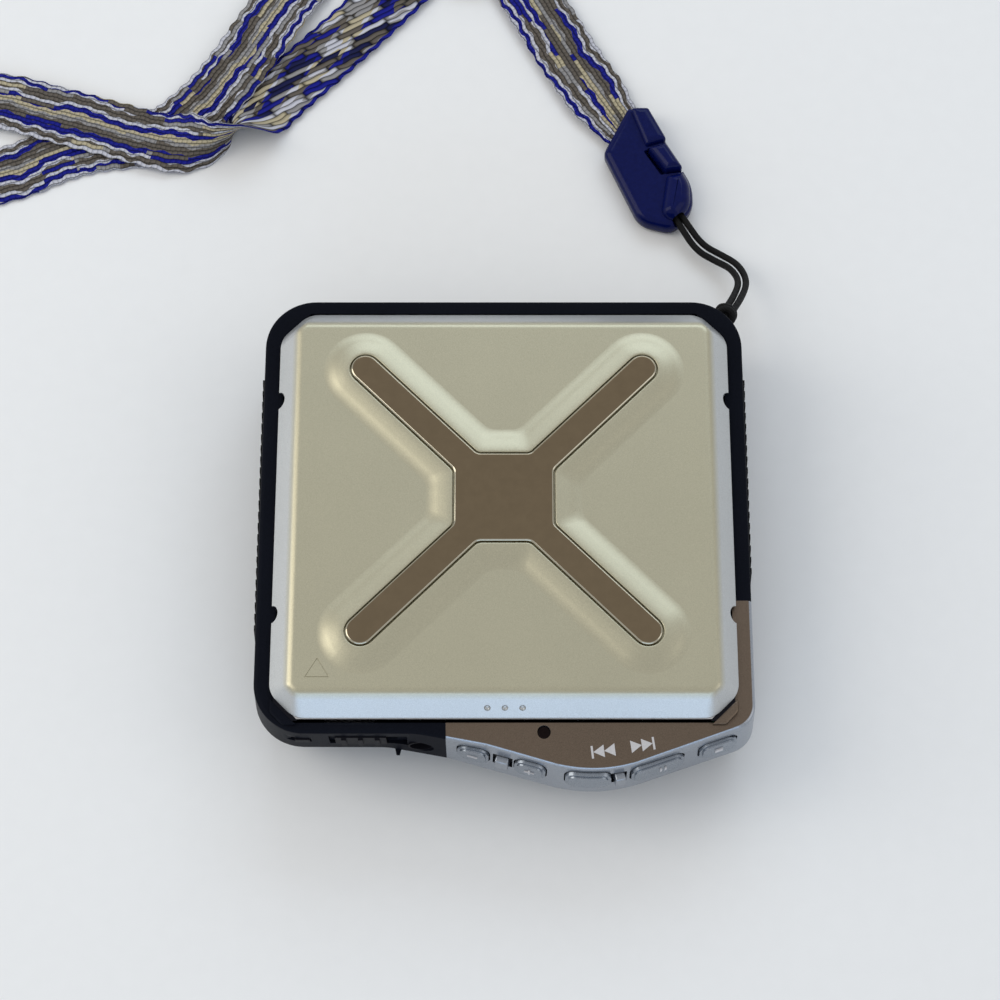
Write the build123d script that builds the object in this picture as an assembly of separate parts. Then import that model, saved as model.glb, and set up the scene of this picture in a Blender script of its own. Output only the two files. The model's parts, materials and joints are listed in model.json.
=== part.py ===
from build123d import *
import math
import os

# A pocket disc player with a hinged lid, in millimetres. +Z is up, +Y is the hinge side,
# -Y is the side with the buttons, and the origin is the middle of the underside.

# case, seen from above, at the parting line
body_width = 82.0
body_rear_y = 42.25
wall_front_y = -34.1
sweep_x = -19.0
sweep_r = 15.0
step_x = -9.0
step_y = -36.0
nose_x = 15.0
nose_y = -42.87
nose_right_y = -33.78
rear_corner_r = 9.0
front_corner_r = 8.3
nose_r = 25.0
nose_corner_r = 5.0
step_r = 3.0
wall = 1.3
panel_rear_y = -12.65
panel_inner_x = 30.0

# heights
hull_z = 3.0
parting_z = 9.5
rim_z = 20.7
base_round = 2.8
foot_steps = 4
floor_t = 1.0
rim_round = 0.8
nose_edge_z = 19.5

# how far each side has moved in at the rim, and at the foot of the hull
side_lean = 0.6
rear_lean = 0.5
front_lean = -0.95
hull_side = 1.2
hull_rear = 0.6
hull_front = 3.8

# the cartridge that the player takes, and the bay around it
cartridge_w = 72.0
cartridge_d = 68.0
cartridge_t = 5.0
cartridge_front_y = -32.4
cartridge_z = 15.95
bay_half_w = 37.2
bay_front_y = -33.4
bay_rear_y = 39.3
bay_front_cut = 1.8
bay_rear_cut = 4.4
bay_wall = 0.9

# lid
lid_gap = 0.8
lid_half_w = 37.75
lid_front_y = -32.85
lid_rear_y = 38.6
lid_cut = 4.6
lid_bevel = 3.35
lid_rise = 3.7
lid_top_cut = 1.0
lid_skin = 0.7
notch_y = (22.6, -15.4)
notch_r = 1.3
dimple_r = 0.5
dimple_pitch = 2.8

# cross on the lid
cross_y = 3.45
arm_reach = 23.1
arm_half = 2.4
waist_side = 8.2
waist_end = 7.75
waist_r = 1.6
plateau_foot = 4.5
plateau_edge = 0.5
plateau_h = 0.9
inlay_proud = 0.3
inlay_sink = 0.8
inlay_soft = 0.45

# hinge
hinge_y = 36.9
hinge_z = 20.4
hinge_pin_r = 0.6
hinge_eye_r = 1.2
ear_x = 29.5
ear_t = 1.5
hinge_gap = 0.2

# disc holder, bent from sheet
sheet_t = 0.4
rail_t = 0.6
rail_lip = 1.5
holder_clear = 0.15

# cell
cell_r = 7.1
cell_length = 50.5
cell_y = 33.2
cell_clear = 0.2
nub_r = 2.75
nub_length = 1.2
contact_room = 3.3
partition_t = 0.9

# drive
spindle_y = 1.6
chassis_z = 11.0
chassis_t = 0.8
spindle_r = 0.75
run_clear = 0.05
turntable_r = 5.2
sled_x = 14.0
sled_travel = 16.5
sled_length = 10.0
rod_r = 1.0
rod_z = 13.4
rod_ys = (12.0, -8.8)
screw_r = 1.1
screw_y = -14.2
screw_z = 11.6
gear_module = 0.3
screw_teeth = 22
pinion_teeth = 10
gear_t = 1.2
motor_r = 3.4
motor_length = 14.0

# buttons
button_low_z = 12.9
button_high_z = 18.2
button_travel = 0.5
button_proud = 0.7
button_clear = 0.2
button_r = 1.7
flange_t = 0.6
flange_wide = 0.6
flange_high_z = 15.4
volume_button_w = 5.2
skip_button_w = 7.4
play_button_w = 9.0
stop_button_w = 6.4
volume_down_x = -5.0
volume_up_x = 4.15
previous_x = 13.5
play_x = 24.8
stop_x = 34.6

# opening slider and hold switch
slider_x = -23.15
slider_w = 8.3
slider_travel = 3.2
slider_low_z = 13.0
slider_high_z = 17.8
slider_recess = 0.5
hold_x = -32.6
hold_w = 2.4
hold_travel = 1.5

# pointed nub under the slider
nub_x = -17.35
nub_z = 8.6

# headphone socket
jack_x = -13.5
jack_z = 13.3
jack_front_y = -35.1
jack_r = 1.8
jack_length = 15.0
jack_half = 2.6
jack_nose_r = 2.08
inside_y = wall_front_y + wall + 0.1
jack_back_y = jack_front_y + jack_length + 1.4

# fasteners
screw_shank_r = 0.9
screw_head_r = 1.5
screw_head_t = 1.1
screw_clear = 0.15
case_screw_xy = ((34.0, 31.5), (-34.0, 31.5), (33.0, -26.5), (-33.0, -22.0))
damper_xy = ((32.0, 17.5), (-32.0, 17.5), (25.0, -26.5), (-24.0, -26.5))
damper_hole_r = 0.92

far = 60.0

os.makedirs("parts", exist_ok=True)


# ---- plan outlines ----

def shifted(corners, insets):
    """Corners (x, y, radius) with each side moved in by its own inset, side i from corner i."""
    count = len(corners)
    lines = []
    for i in range(count):
        x0, y0, _ = corners[i]
        x1, y1, _ = corners[(i + 1) % count]
        length = math.hypot(x1 - x0, y1 - y0)
        dx = (x1 - x0) / length
        dy = (y1 - y0) / length
        lines.append((x0 - dy * insets[i], y0 + dx * insets[i], dx, dy))
    moved = []
    for i in range(count):
        xa, ya, ax, ay = lines[i - 1]
        xb, yb, bx, by = lines[i]
        turn = ax * by - ay * bx
        along = ((xb - xa) * by - (yb - ya) * bx) / turn
        mean = (insets[i - 1] + insets[i]) / 2
        radius = corners[i][2] - mean if turn > 0 else corners[i][2] + mean
        moved.append((xa + ax * along, ya + ay * along, max(radius, 0.2)))
    return moved


def rounded_wire(corners, z):
    """Closed wire of lines and arcs through corners (x, y, radius) at height z."""
    count = len(corners)
    bends = []
    for i in range(count):
        here = Vector(corners[i][0], corners[i][1], z)
        back = (Vector(corners[i - 1][0], corners[i - 1][1], z) - here).normalized()
        ahead = corners[(i + 1) % count]
        on = (Vector(ahead[0], ahead[1], z) - here).normalized()
        half = math.radians(back.get_angle(on)) / 2
        radius = corners[i][2]
        reach = radius / math.tan(half)
        middle = here + (back + on).normalized() * (radius / math.sin(half) - radius)
        bends.append((here + back * reach, middle, here + on * reach))
    edges = []
    for i in range(count):
        edges.append(ThreePointArc(*bends[i]))
        start = bends[i][2]
        end = bends[(i + 1) % count][0]
        if (end - start).length > 1e-4:
            edges.append(Line(start, end))
    return Wire(edges)


def ruled(low, low_z, high, high_z):
    """Solid between two outlines with the same corners."""
    return Solid.make_loft([rounded_wire(low, low_z), rounded_wire(high, high_z)], True)


def upright(corners, z0, z1):
    face = Face(rounded_wire(corners, z0))
    return extrude(face, z1 - z0, dir=(0, 0, 1))


def block(x0, x1, y0, y1, z0, z1):
    return Pos((x0 + x1) / 2, (y0 + y1) / 2, (z0 + z1) / 2) * Box(x1 - x0, y1 - y0, z1 - z0)


def post(x, y, r, z0, z1):
    return Pos(x, y, (z0 + z1) / 2) * Cylinder(r, z1 - z0)


def rod_x(x0, x1, y, z, r):
    return Pos((x0 + x1) / 2, y, z) * Rot(0, 90, 0) * Cylinder(r, x1 - x0)


def rod_y(x, y0, y1, z, r):
    return Pos(x, (y0 + y1) / 2, z) * Rot(90, 0, 0) * Cylinder(r, y1 - y0)


def mirrored(shape):
    return mirror(shape, Plane.YZ)


def both(shape):
    """A piece and its mirror image, left and right."""
    return Compound([*shape.solids(), *mirrored(shape).solids()])


def save(shape, name):
    export_step(shape, f"parts/{name}.step")


body_half = body_width / 2
body_corners = [
    (body_half, body_rear_y, rear_corner_r),
    (-body_half, body_rear_y, rear_corner_r),
    (-body_half, wall_front_y, front_corner_r),
    (sweep_x, wall_front_y - 0.05, sweep_r),
    (step_x, step_y, step_r),
    (nose_x, nose_y, nose_r),
    (body_half, nose_right_y, nose_corner_r),
]
rim_insets = [rear_lean, side_lean, front_lean, 0, side_lean, side_lean, side_lean]
hull_insets = [hull_rear, hull_side, hull_front, hull_front, hull_front, hull_front, hull_side]


def body_outline(inset, leans=None):
    leans = leans or [0] * len(body_corners)
    return shifted(body_corners, [inset + lean for lean in leans])


def upper_loft(inset, top_z=rim_z):
    """The leaning walls above the parting line, moved in by inset."""
    share = (top_z - parting_z) / (rim_z - parting_z)
    leans = [share * lean for lean in rim_insets]
    return ruled(body_outline(inset), parting_z, body_outline(inset, leans), top_z)


def wall_slab(inset):
    """All that lies behind the leaning plane of the left front wall, moved in by inset."""
    lean = math.degrees(math.atan2(-front_lean, rim_z - parting_z))
    slab = block(-far, far, 0, far, -far, far)
    return Pos(0, wall_front_y + inset, parting_z) * Rot(lean, 0, 0) * slab


def rectangle(half_w, y0, y1, front_cut, rear_cut, r):
    """Eight corners of a rectangle with cut-off corners, anticlockwise from the right rear."""
    return [
        (half_w, y1 - rear_cut, r),
        (half_w - rear_cut, y1, r),
        (rear_cut - half_w, y1, r),
        (-half_w, y1 - rear_cut, r),
        (-half_w, y0 + front_cut, r),
        (front_cut - half_w, y0, r),
        (half_w - front_cut, y0, r),
        (half_w, y0 + front_cut, r),
    ]


def lid_outline(inset, cut, r):
    return rectangle(lid_half_w - inset, lid_front_y + inset, lid_rear_y - inset, cut, cut, r)


lid_z = rim_z + lid_gap
lid_top_z = lid_z + lid_rise
plateau_z = lid_top_z + plateau_h
top_z = plateau_z + inlay_proud
cartridge_top_z = cartridge_z + cartridge_t
cartridge_rear_y = cartridge_front_y + cartridge_d
lip_top_z = cartridge_z - 0.1
lip_low_z = lip_top_z - sheet_t
plate_z = cartridge_top_z + 0.1
plate_top_z = plate_z + sheet_t
rail_in_x = cartridge_w / 2 + holder_clear
rail_out_x = rail_in_x + rail_t
deck_z = chassis_z + chassis_t
cell_z = floor_t + cell_clear + cell_r
cell_top_z = cell_z + cell_r
roof_z = cell_top_z + 0.1
roof_t = 0.3
bay_floor_z = roof_z + roof_t + 0.1
cell_end_x = cell_length / 2
bay_end_x = cell_end_x + contact_room
partition_y = cell_y - cell_r - cell_clear - partition_t
boss_top_z = lip_low_z - 0.3


# ---- fronts of the case: a frame along each facet ----

def facet_normal(x):
    """Outward direction of the case's front at x, seen from above."""
    left = math.atan2(nose_y - step_y, nose_x - step_x)
    right = math.atan2(nose_right_y - nose_y, body_half - nose_x)
    reach = nose_r * math.tan((right - left) / 2)
    start = nose_x - reach * math.cos(left)
    end = nose_x + reach * math.cos(right)
    share = min(max((x - start) / (end - start), 0), 1)
    angle = left + share * (right - left)
    return math.sin(angle), -math.cos(angle)


def front_y(x):
    """Where the sharp outline of the front lies at x."""
    if x < nose_x:
        share = (x - step_x) / (nose_x - step_x)
        return step_y + share * (nose_y - step_y)
    return nose_y + (x - nose_x) / (body_half - nose_x) * (nose_right_y - nose_y)


def facet_prism(x, width, z0, z1, r):
    """A rounded bar that runs square through the front wall at x."""
    nx, ny = facet_normal(x)
    turn = math.degrees(math.atan2(nx, -ny))
    profile = RectangleRounded(width, z1 - z0, r)
    bar = extrude(Plane.XZ * profile, 6, both=True)
    return Pos(x, front_y(x), (z0 + z1) / 2) * Rot(0, 0, turn) * bar


buttons = {
    "volume_down_button": (volume_down_x, volume_button_w),
    "volume_up_button": (volume_up_x, volume_button_w),
    "previous_button": (previous_x, skip_button_w),
    "play_button": (play_x, play_button_w),
    "stop_button": (stop_x, stop_button_w),
}


def button(x, width):
    """A key: a crowned cap through the wall, with a flange that keeps it in."""
    shell = upper_loft(-button_proud * 0.6) - upper_loft(wall)
    cap = shell & facet_prism(x, width, button_low_z, button_high_z, button_r)
    crown_shell = upper_loft(-button_proud) - upper_loft(0)
    shrink = 0.5
    crown = crown_shell & facet_prism(
        x, width - 2 * shrink, button_low_z + shrink, button_high_z - shrink, button_r - shrink
    )
    back = upper_loft(wall) - upper_loft(wall + flange_t)
    flange = back & facet_prism(
        x, width + 2 * flange_wide, parting_z + 0.3, flange_high_z, 0.5
    )
    flange -= upper_loft(wall) - upper_loft(wall + run_clear)
    neck_shell = upper_loft(wall - 0.1) - upper_loft(wall + flange_t)
    neck = neck_shell & facet_prism(x, width - button_r, button_low_z + 0.3, flange_high_z, 0.5)
    key = cap + crown + flange + neck
    return key - bay(-bay_wall - button_travel - 0.1, bay_floor_z - 0.2, far)


# ---- case ----

def rounding(radius):
    """How far in and how far down each step of a rounded edge lies, from the wall to the top."""
    steps = []
    for i in range(foot_steps + 1):
        angle = math.radians(90 * i / foot_steps)
        steps.append((radius * (1 - math.cos(angle)), radius * (1 - math.sin(angle))))
    return steps


def hull(inset, foot_z):
    """The lower half's outer form: leaning walls, then a foot rounded in steps down to foot_z."""
    wires = [rounded_wire(body_outline(inset), parting_z)]
    for pull, rise in rounding(min(base_round, hull_z - foot_z)):
        wires.append(rounded_wire(body_outline(inset + pull, hull_insets), foot_z + rise))
    return Solid.make_loft(wires, True)


def door_region(gap):
    """Everything that belongs to the battery door, grown by gap."""
    reach = bay_end_x - 0.6
    return block(-reach - gap, reach + gap, partition_y + partition_t + 0.5 - gap, far, -1, 8 + gap)


door_axis_y = partition_y + partition_t + 1.4
door_axis_z = 1.1
door_knuckle_r = 1.0
door_pin_r = 0.45
door_knuckle_x = 19.0


def lower_case():
    shell = hull(0, 0) - hull(wall, floor_t)
    partition = block(-far, far, partition_y, partition_y + partition_t, 0.5, parting_z)
    ends = block(bay_end_x, bay_end_x + partition_t, partition_y, far, 0.5, parting_z)
    walls = partition + ends + mirrored(ends)
    for x, y in case_screw_xy:
        walls += post(x, y, screw_head_r + 0.8, 0.5, parting_z)
    for x, y in damper_xy:
        walls += post(x, y, 1.9, 0.5, chassis_z - 2.0)
    for x in (-25, 25):
        for y in (-21, 19):
            walls += post(x, y, 1.4, 0.5, board_z)
    shell += walls & hull(wall - 0.3, 0.3)
    for x, y in case_screw_xy:
        shell -= post(x, y, screw_shank_r + screw_clear, -1, parting_z + 1)
        shell -= post(x, y, screw_head_r + screw_clear, -1, screw_head_t + 0.4)
    for x, y in damper_xy:
        shell -= post(x, y, damper_hole_r, floor_t + 1, chassis_z)
    shell -= door_region(0.15)
    boss_x = door_knuckle_x + 0.2
    boss = rod_x(boss_x, bay_end_x + 0.5, door_axis_y, door_axis_z, door_axis_z)
    boss += block(boss_x, bay_end_x + 0.5, partition_y + 0.5, door_axis_y + 1.1, door_axis_z, 2.3)
    knuckle_room = rod_x(-far, far, door_axis_y, door_axis_z, door_knuckle_r + 0.15)
    edge_x = door_knuckle_x + 0.2
    shell -= knuckle_room & block(-edge_x, edge_x, 0, far, -1, 4)
    shell -= block(-edge_x, edge_x, partition_y + partition_t + 0.1, far, -1, door_axis_z)
    shell += boss + mirrored(boss)
    shell -= rod_x(-23, 23, door_axis_y, door_axis_z, door_pin_r + 0.02)
    nub = Pos(nub_x, wall_front_y + 0.1, nub_z) * Rot(90, 0, 0) * Cone(0.8, 0.3, 2.4)
    return shell + nub


def battery_door():
    skin = (hull(0, 0) - hull(wall, floor_t)) & door_region(0)
    skin -= block(-far, far, 0, door_axis_y, -1, 4)
    knuckle = rod_x(-door_knuckle_x, door_knuckle_x, door_axis_y, door_axis_z, door_knuckle_r)
    side = bay_end_x
    room = block(door_knuckle_x, side, 0, door_axis_y + 1.3, -1, 4)
    door = skin - room - mirrored(room) + knuckle
    grip = block(-6, 6, cell_y - 4, cell_y - 3.6, -1, 0.25)
    for i in range(4):
        door -= Pos(0, i * 1.2, 0) * grip
    return door - rod_x(-far, far, door_axis_y, door_axis_z, door_pin_r + run_clear)


def bay(inset, z0, z1):
    outline = rectangle(
        bay_half_w - inset, bay_front_y + inset, bay_rear_y - inset, bay_front_cut, bay_rear_cut, 0.5
    )
    return upright(outline, z0, z1)


def body_blank():
    """Walls that lean in up to a level top with a rounded edge."""
    leans = [lean * (rim_z - rim_round - parting_z) / (rim_z - parting_z) for lean in rim_insets]
    wires = [rounded_wire(body_outline(0), parting_z)]
    for pull, drop in rounding(rim_round):
        wires.append(rounded_wire(body_outline(pull, leans), rim_z - drop))
    return Solid.make_loft(wires, True)


def nose_cover():
    """The sloping top of the nose with its rounded edge, as a solid that keeps what is under it."""
    wires = [rounded_wire(body_outline(-10), -30)]
    for pull, drop in rounding(rim_round):
        wires.append(rounded_wire(body_outline(pull - 0.1, rim_insets), -drop))
    crease_y = bay_front_y - 0.6
    slope = math.degrees(math.atan2(rim_z - nose_edge_z, crease_y - nose_y - 1.8))
    cover = Pos(0, -crease_y, 0) * Solid.make_loft(wires, True)
    return Pos(0, crease_y, rim_z) * Rot(slope, 0, 0) * cover


def hollowed(solid):
    """Cuts the hollow above the parting line: under the bay, in the nose, and the bay itself."""
    nose_wall = wall + 0.1
    nose = upper_loft(nose_wall, nose_edge_z - 1.2) - bay(-bay_wall, 0, far)
    nose &= block(step_x + nose_wall, far, -far, bay_front_y + 1.5, parting_z - 1, rim_z)
    return solid - upper_loft(wall, bay_floor_z) - nose - bay(0, bay_floor_z - 0.1, far)


def panel_region(gap):
    nose = block(step_x - 0.35 + gap, far, -far, bay_front_y + 0.01, 0, far)
    side = block(panel_inner_x, far, -far, panel_rear_y - gap, 0, far)
    return nose + side


def grip_region(side, y0, y1, grow):
    return block(
        side * body_half - 2 if side > 0 else -body_half - 2,
        side * body_half + 2 if side > 0 else -body_half + 2,
        y0 - grow, y1 + grow, parting_z + 0.6 - grow, rim_z - 2.2 + grow
    )


grip_spans = {"left_grip": (-1, -18.0, 30.0), "right_grip": (1, -8.0, 30.0)}


def side_grip(side, y0, y1):
    """A ribbed pad let into the frame's side."""
    region = grip_region(side, y0, y1, 0)
    pad = (upper_loft(0.05) - upper_loft(0.6)) & region
    ribs = upper_loft(-0.35) - upper_loft(0.3)
    rib_pitch = 2.0
    count = int((y1 - y0 - 1) / rib_pitch)
    for i in range(count):
        y = y0 + 1 + i * rib_pitch
        pad += ribs & grip_region(side, y, y + 1.0, -0.1)
    return pad


strap_turn = 45
strap_centre = (body_half - rear_corner_r, body_rear_y - rear_corner_r)
strap_post_out = rear_corner_r - 1.15
strap_post_r = 0.6
strap_low_z = 12.8
strap_high_z = 17.8
strap_post_x = strap_centre[0] + strap_post_out * math.cos(math.radians(strap_turn))
strap_post_y = strap_centre[1] + strap_post_out * math.sin(math.radians(strap_turn))


strap_room_in = rear_corner_r - 3.2
strap_room_half = 3.2
pocket_wall = 0.7


def at_strap_corner(shape):
    return Pos(*strap_centre, 0) * Rot(0, 0, strap_turn) * shape


def strap_recess():
    room = block(strap_room_in, rear_corner_r + 3, -strap_room_half, strap_room_half,
                 strap_low_z, strap_high_z)
    return at_strap_corner(room)


def strap_pocket():
    """Walls behind the strap's recess, below the floor of the bay."""
    reach = strap_room_half + pocket_wall
    walls = block(strap_room_in - pocket_wall, rear_corner_r, -reach, reach, parting_z, bay_floor_z)
    return at_strap_corner(walls) & upper_loft(wall - 0.2)


def in_panel(x, y):
    return x > panel_inner_x and y < panel_rear_y


def with_bosses(shape, places):
    """Blocks inside the side walls that the case screws bite into."""
    for x, y in places:
        reach = math.copysign(body_half - wall + 0.4, x)
        x0, x1 = sorted((x - math.copysign(1.9, x), reach))
        shape += block(x0, x1, y - 1.9, y + 1.9, parting_z, boss_top_z) & upper_loft(wall - 0.2)
        shape -= post(x, y, screw_shank_r + 0.02, parting_z - 1, boss_top_z - 0.5)
    return shape


def upper_frame():
    frame = hollowed(body_blank()) - panel_region(0)
    for side, y0, y1 in grip_spans.values():
        frame -= (upper_loft(-1) - upper_loft(0.6)) & grip_region(side, y0, y1, 0.05)
    frame += strap_pocket()
    frame -= strap_recess()
    frame -= post(strap_post_x, strap_post_y, strap_post_r, parting_z + 0.2, strap_high_z + 0.7)
    frame = with_bosses(frame, [at for at in case_screw_xy if not in_panel(*at)])
    ear = rod_x(ear_x, ear_x + ear_t, hinge_y, hinge_z, hinge_eye_r)
    ear += block(ear_x, ear_x + ear_t, hinge_y, bay_rear_y + 0.1, hinge_z - 1.4, hinge_z - 0.3)
    ear -= rod_x(ear_x - 1, ear_x + 3, hinge_y, hinge_z, hinge_pin_r + 0.02)
    frame += ear
    frame += mirrored(ear)
    low = slider_x - slider_w / 2 - 1
    high = slider_x + slider_w / 2 + slider_travel + 0.15
    recess = block(low, high, -far, 0, slider_low_z - 0.2, slider_high_z + 0.2)
    frame -= recess - wall_slab(slider_recess)
    frame -= block(
        slider_x - 2.5, slider_x + 2.5 + slider_travel + 0.2, wall_front_y - 2,
        wall_front_y + wall + 0.6, slider_stem_z - 0.15, slider_stem_z + 1.0
    )
    low = hold_x - hold_w / 2 - hold_travel - 0.2
    high = hold_x + hold_w / 2 + 0.2
    frame -= block(low, high, -far, 0, 14.0, 16.4) - wall_slab(slider_recess)
    frame -= block(
        hold_x - 0.5 - hold_travel, hold_x + 0.6, wall_front_y - 2, wall_front_y + wall + 0.8,
        14.3, 15.1
    )
    frame -= rod_y(jack_x, jack_front_y - 2, inside_y + 0.1, jack_z, jack_nose_r + 0.03)
    return frame


def control_panel():
    panel = hollowed(body_blank() & nose_cover()) & panel_region(0)
    for x, width in buttons.values():
        grow = 2 * button_clear
        hole = facet_prism(
            x, width + grow, button_low_z - button_clear, button_high_z + button_clear, button_r
        )
        panel -= hole - bay(-bay_wall, bay_floor_z, far)
    panel = with_bosses(panel, [at for at in case_screw_xy if in_panel(*at)])
    return panel - post(light_x, light_y, light_r + 0.03, nose_edge_z - 3, far)


light_x = 6.4
light_y = -34.9
light_r = 1.05


def status_light():
    lens = post(light_x, light_y, light_r, rim_z - 1.9, rim_z - 0.25)
    return fillet(lens.edges().group_by(Axis.Z)[-1], 0.3)


# ---- what the case holds ----

board_z = 3.0
board_t = 0.8


def main_board():
    return block(-29, 29, -23.5, 22, board_z, board_z + board_t)


def board_chips():
    top = board_z + board_t
    chips = [
        block(-14, -2, -8, 4, top, top + 1.4),
        block(3, 11, 2, 10, top, top + 1.2),
        block(-24, -17, 6, 16, top, top + 1.0),
        block(14, 20, -16, -8, top, top + 1.8),
        post(-22, -8, 2.0, top, top + 3.5),
        post(22, 4, 2.0, top, top + 3.5),
    ]
    return Compound([piece.solids()[0] if hasattr(piece, "solids") else piece for piece in chips])




def jack_body():
    body = block(jack_x - 3.4, jack_x + 3.4, inside_y, jack_back_y,
                 jack_z - jack_half, jack_z + jack_half - 0.7)
    nose = rod_y(jack_x, jack_front_y, inside_y + 0.1, jack_z, jack_nose_r)
    return body + nose - rod_y(jack_x, jack_front_y - 1, jack_front_y + jack_length, jack_z, jack_r)


def battery_cell():
    can = rod_x(-cell_end_x, cell_end_x - nub_length, cell_y, cell_z, cell_r)
    can = fillet(can.edges(), 0.5)
    return can + rod_x(cell_end_x - nub_length - 0.1, cell_end_x, cell_y, cell_z, nub_r)


def battery_contacts():
    plate = block(bay_end_x - 0.3, bay_end_x, cell_y - 5, cell_y + 5, cell_z - 5, cell_z + 5)
    dimple = Pos((cell_end_x + bay_end_x) / 2, cell_y, cell_z) * Rot(0, 90, 0)
    reach = contact_room - 0.05
    positive = plate + dimple * Cone(1.6, 3.2, reach)
    negative = mirrored(plate + dimple * Cone(3.6, 4.6, reach))
    return Compound([*positive.solids(), *negative.solids()])


def battery_roof():
    x = bay_end_x + partition_t
    plate = block(-x, x, partition_y, 40.4, roof_z, roof_z + roof_t)
    front = block(-x, x, partition_y, partition_y + partition_t, parting_z, roof_z)
    end = block(bay_end_x, x, partition_y, 40.4, parting_z, roof_z)
    cover = plate + front + end + mirrored(end)
    return cover & upper_loft(wall + 0.05, bay_floor_z)


window_x0 = 8.5
window_x1 = 36.0
window_y0 = -22.8
window_y1 = 14.0
plate_x0 = 31.6
plate_x1 = 32.4


def chassis():
    """The drive's steel plate, with the ears that carry the rods, screw and motor."""
    plate = upright(rectangle(37.0, -29.0, 22.5, 9, 4, 0.5), chassis_z, deck_z)
    plate -= block(window_x0, window_x1, window_y0, window_y1, 0, far)
    plate -= block(jack_x - 3.8, jack_x + 3.8, -far, jack_back_y + 0.4, 0, far)
    for x, y in case_screw_xy:
        x0, x1 = sorted((x - math.copysign(2.7, x), math.copysign(far, x)))
        plate -= block(x0, x1, y - 2.7, y + 2.7, 0, far)
    for x, y in damper_xy:
        plate -= post(x, y, damper_hole_r, 0, far)
    left = block(window_x0 - 1.4, window_x0, window_y0, window_y1, deck_z, 14.9)
    right = block(window_x1, window_x1 + 0.5, rod_ys[1] - 2, window_y1, deck_z, 14.9)
    cross = block(plate_x0, plate_x1, window_y0 - 1, rod_ys[1] - 2.4, 8.3, 15.0)
    cross += block(plate_x0, window_x1 + 0.3, window_y0 - 1, window_y0 + 0.1, chassis_z, deck_z)
    shape = plate + left + right + cross
    for y in rod_ys:
        shape -= rod_x(window_x0 - 3, 40, y, rod_z, rod_r + 0.02)
    shape -= rod_x(window_x0 - 3, plate_x1 + 0.1, screw_y, screw_z, 0.65)
    shape -= rod_x(plate_x0 - 1, plate_x1 + 1, motor_y, screw_z, 1.2)
    return shape


def guide_rods():
    return Compound([
        rod_x(window_x0 - 1.4, window_x1 + 0.5, y, rod_z, rod_r).solids()[0] for y in rod_ys
    ])


def dampers():
    pads = []
    for x, y in damper_xy:
        pad = post(x, y, 2.2, chassis_z - 2.0, chassis_z) - post(x, y, damper_hole_r, 0, far)
        pads += pad.solids()
    return Compound(pads)


def screws(places, z0, z1, head_z, head_t, head_r):
    made = []
    for x, y in places:
        shank = post(x, y, screw_shank_r, z0, z1)
        head = post(x, y, head_r, head_z, head_z + head_t)
        low_side = head_z < z0 + 1
        slot_z = head_z if low_side else head_z + head_t - 0.4
        cross = block(x - 0.9, x + 0.9, y - 0.2, y + 0.2, slot_z, slot_z + 0.4)
        cross += block(x - 0.2, x + 0.2, y - 0.9, y + 0.9, slot_z, slot_z + 0.4)
        made.append((shank + head - cross).solids()[0])
    return Compound(made)


def spindle_motor():
    base = post(0, spindle_y, 6.8, deck_z, deck_z + 0.8)
    stator = post(0, spindle_y, 5.4, deck_z + 0.8, deck_z + 2.4)
    return base + stator - post(0, spindle_y, spindle_r + run_clear, 0, far)


def turntable():
    """Turns the disc: hub, centring cone and shaft."""
    low = deck_z + 2.7
    hub = post(0, spindle_y, turntable_r, low, low + 0.9)
    seat = post(0, spindle_y, 3.0, low + 0.9, low + 1.5)
    cone_z = low + 1.5
    cone = Pos(0, spindle_y, cone_z + 0.3) * Cone(1.9, 1.2, 0.6)
    shaft = post(0, spindle_y, spindle_r, deck_z + 0.2, low + 0.1)
    return hub + seat + cone + shaft


sled_low_z = 9.6
sled_high_z = 15.1


def pickup_sled():
    x0 = sled_x - sled_length / 2
    x1 = sled_x + sled_length / 2
    sled = block(x0, x1, rod_ys[1] - 1.7, rod_ys[0] + 1.7, sled_low_z, sled_high_z)
    sled -= block(x0 + 2, x1 - 2, spindle_y + 3, rod_ys[0] - 2, sled_high_z - 1.2, far)
    for y in rod_ys:
        sled -= rod_x(0, 40, y, rod_z, rod_r + run_clear)
    nut = block(sled_x - 3, sled_x, screw_y, rod_ys[1] - 1.6, 10.0, 13.2)
    return sled + nut - rod_x(0, 40, screw_y, screw_z, screw_r + 0.1)


def pickup_lens():
    mount_z = sled_high_z
    ring = post(sled_x, spindle_y, 2.2, mount_z, mount_z + 0.35)
    return ring + Pos(sled_x, spindle_y, mount_z + 0.45) * Cone(1.5, 1.0, 0.3)


def gear(teeth, r_bore, thickness):
    """Spur gear with straight-sided teeth, thinned so that a pair runs free."""
    pitch_r = gear_module * teeth / 2
    outer = pitch_r + gear_module * 0.6
    root = pitch_r - gear_module * 0.9
    points = []
    for i in range(teeth):
        centre = 2 * math.pi * i / teeth
        for radius, half in ((root, 0.26), (outer, 0.08), (outer, -0.08), (root, -0.26)):
            angle = centre - half * 2 * math.pi / teeth
            points.append((radius * math.cos(angle), radius * math.sin(angle)))
    blank = extrude(make_face(Polyline(*points, close=True)), thickness, dir=(0, 0, 1))
    return blank - Pos(0, 0, thickness / 2) * Cylinder(r_bore, thickness * 2)


gear_x = plate_x1 + 0.8
motor_y = screw_y - gear_module * (screw_teeth + pinion_teeth) / 2


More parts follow.
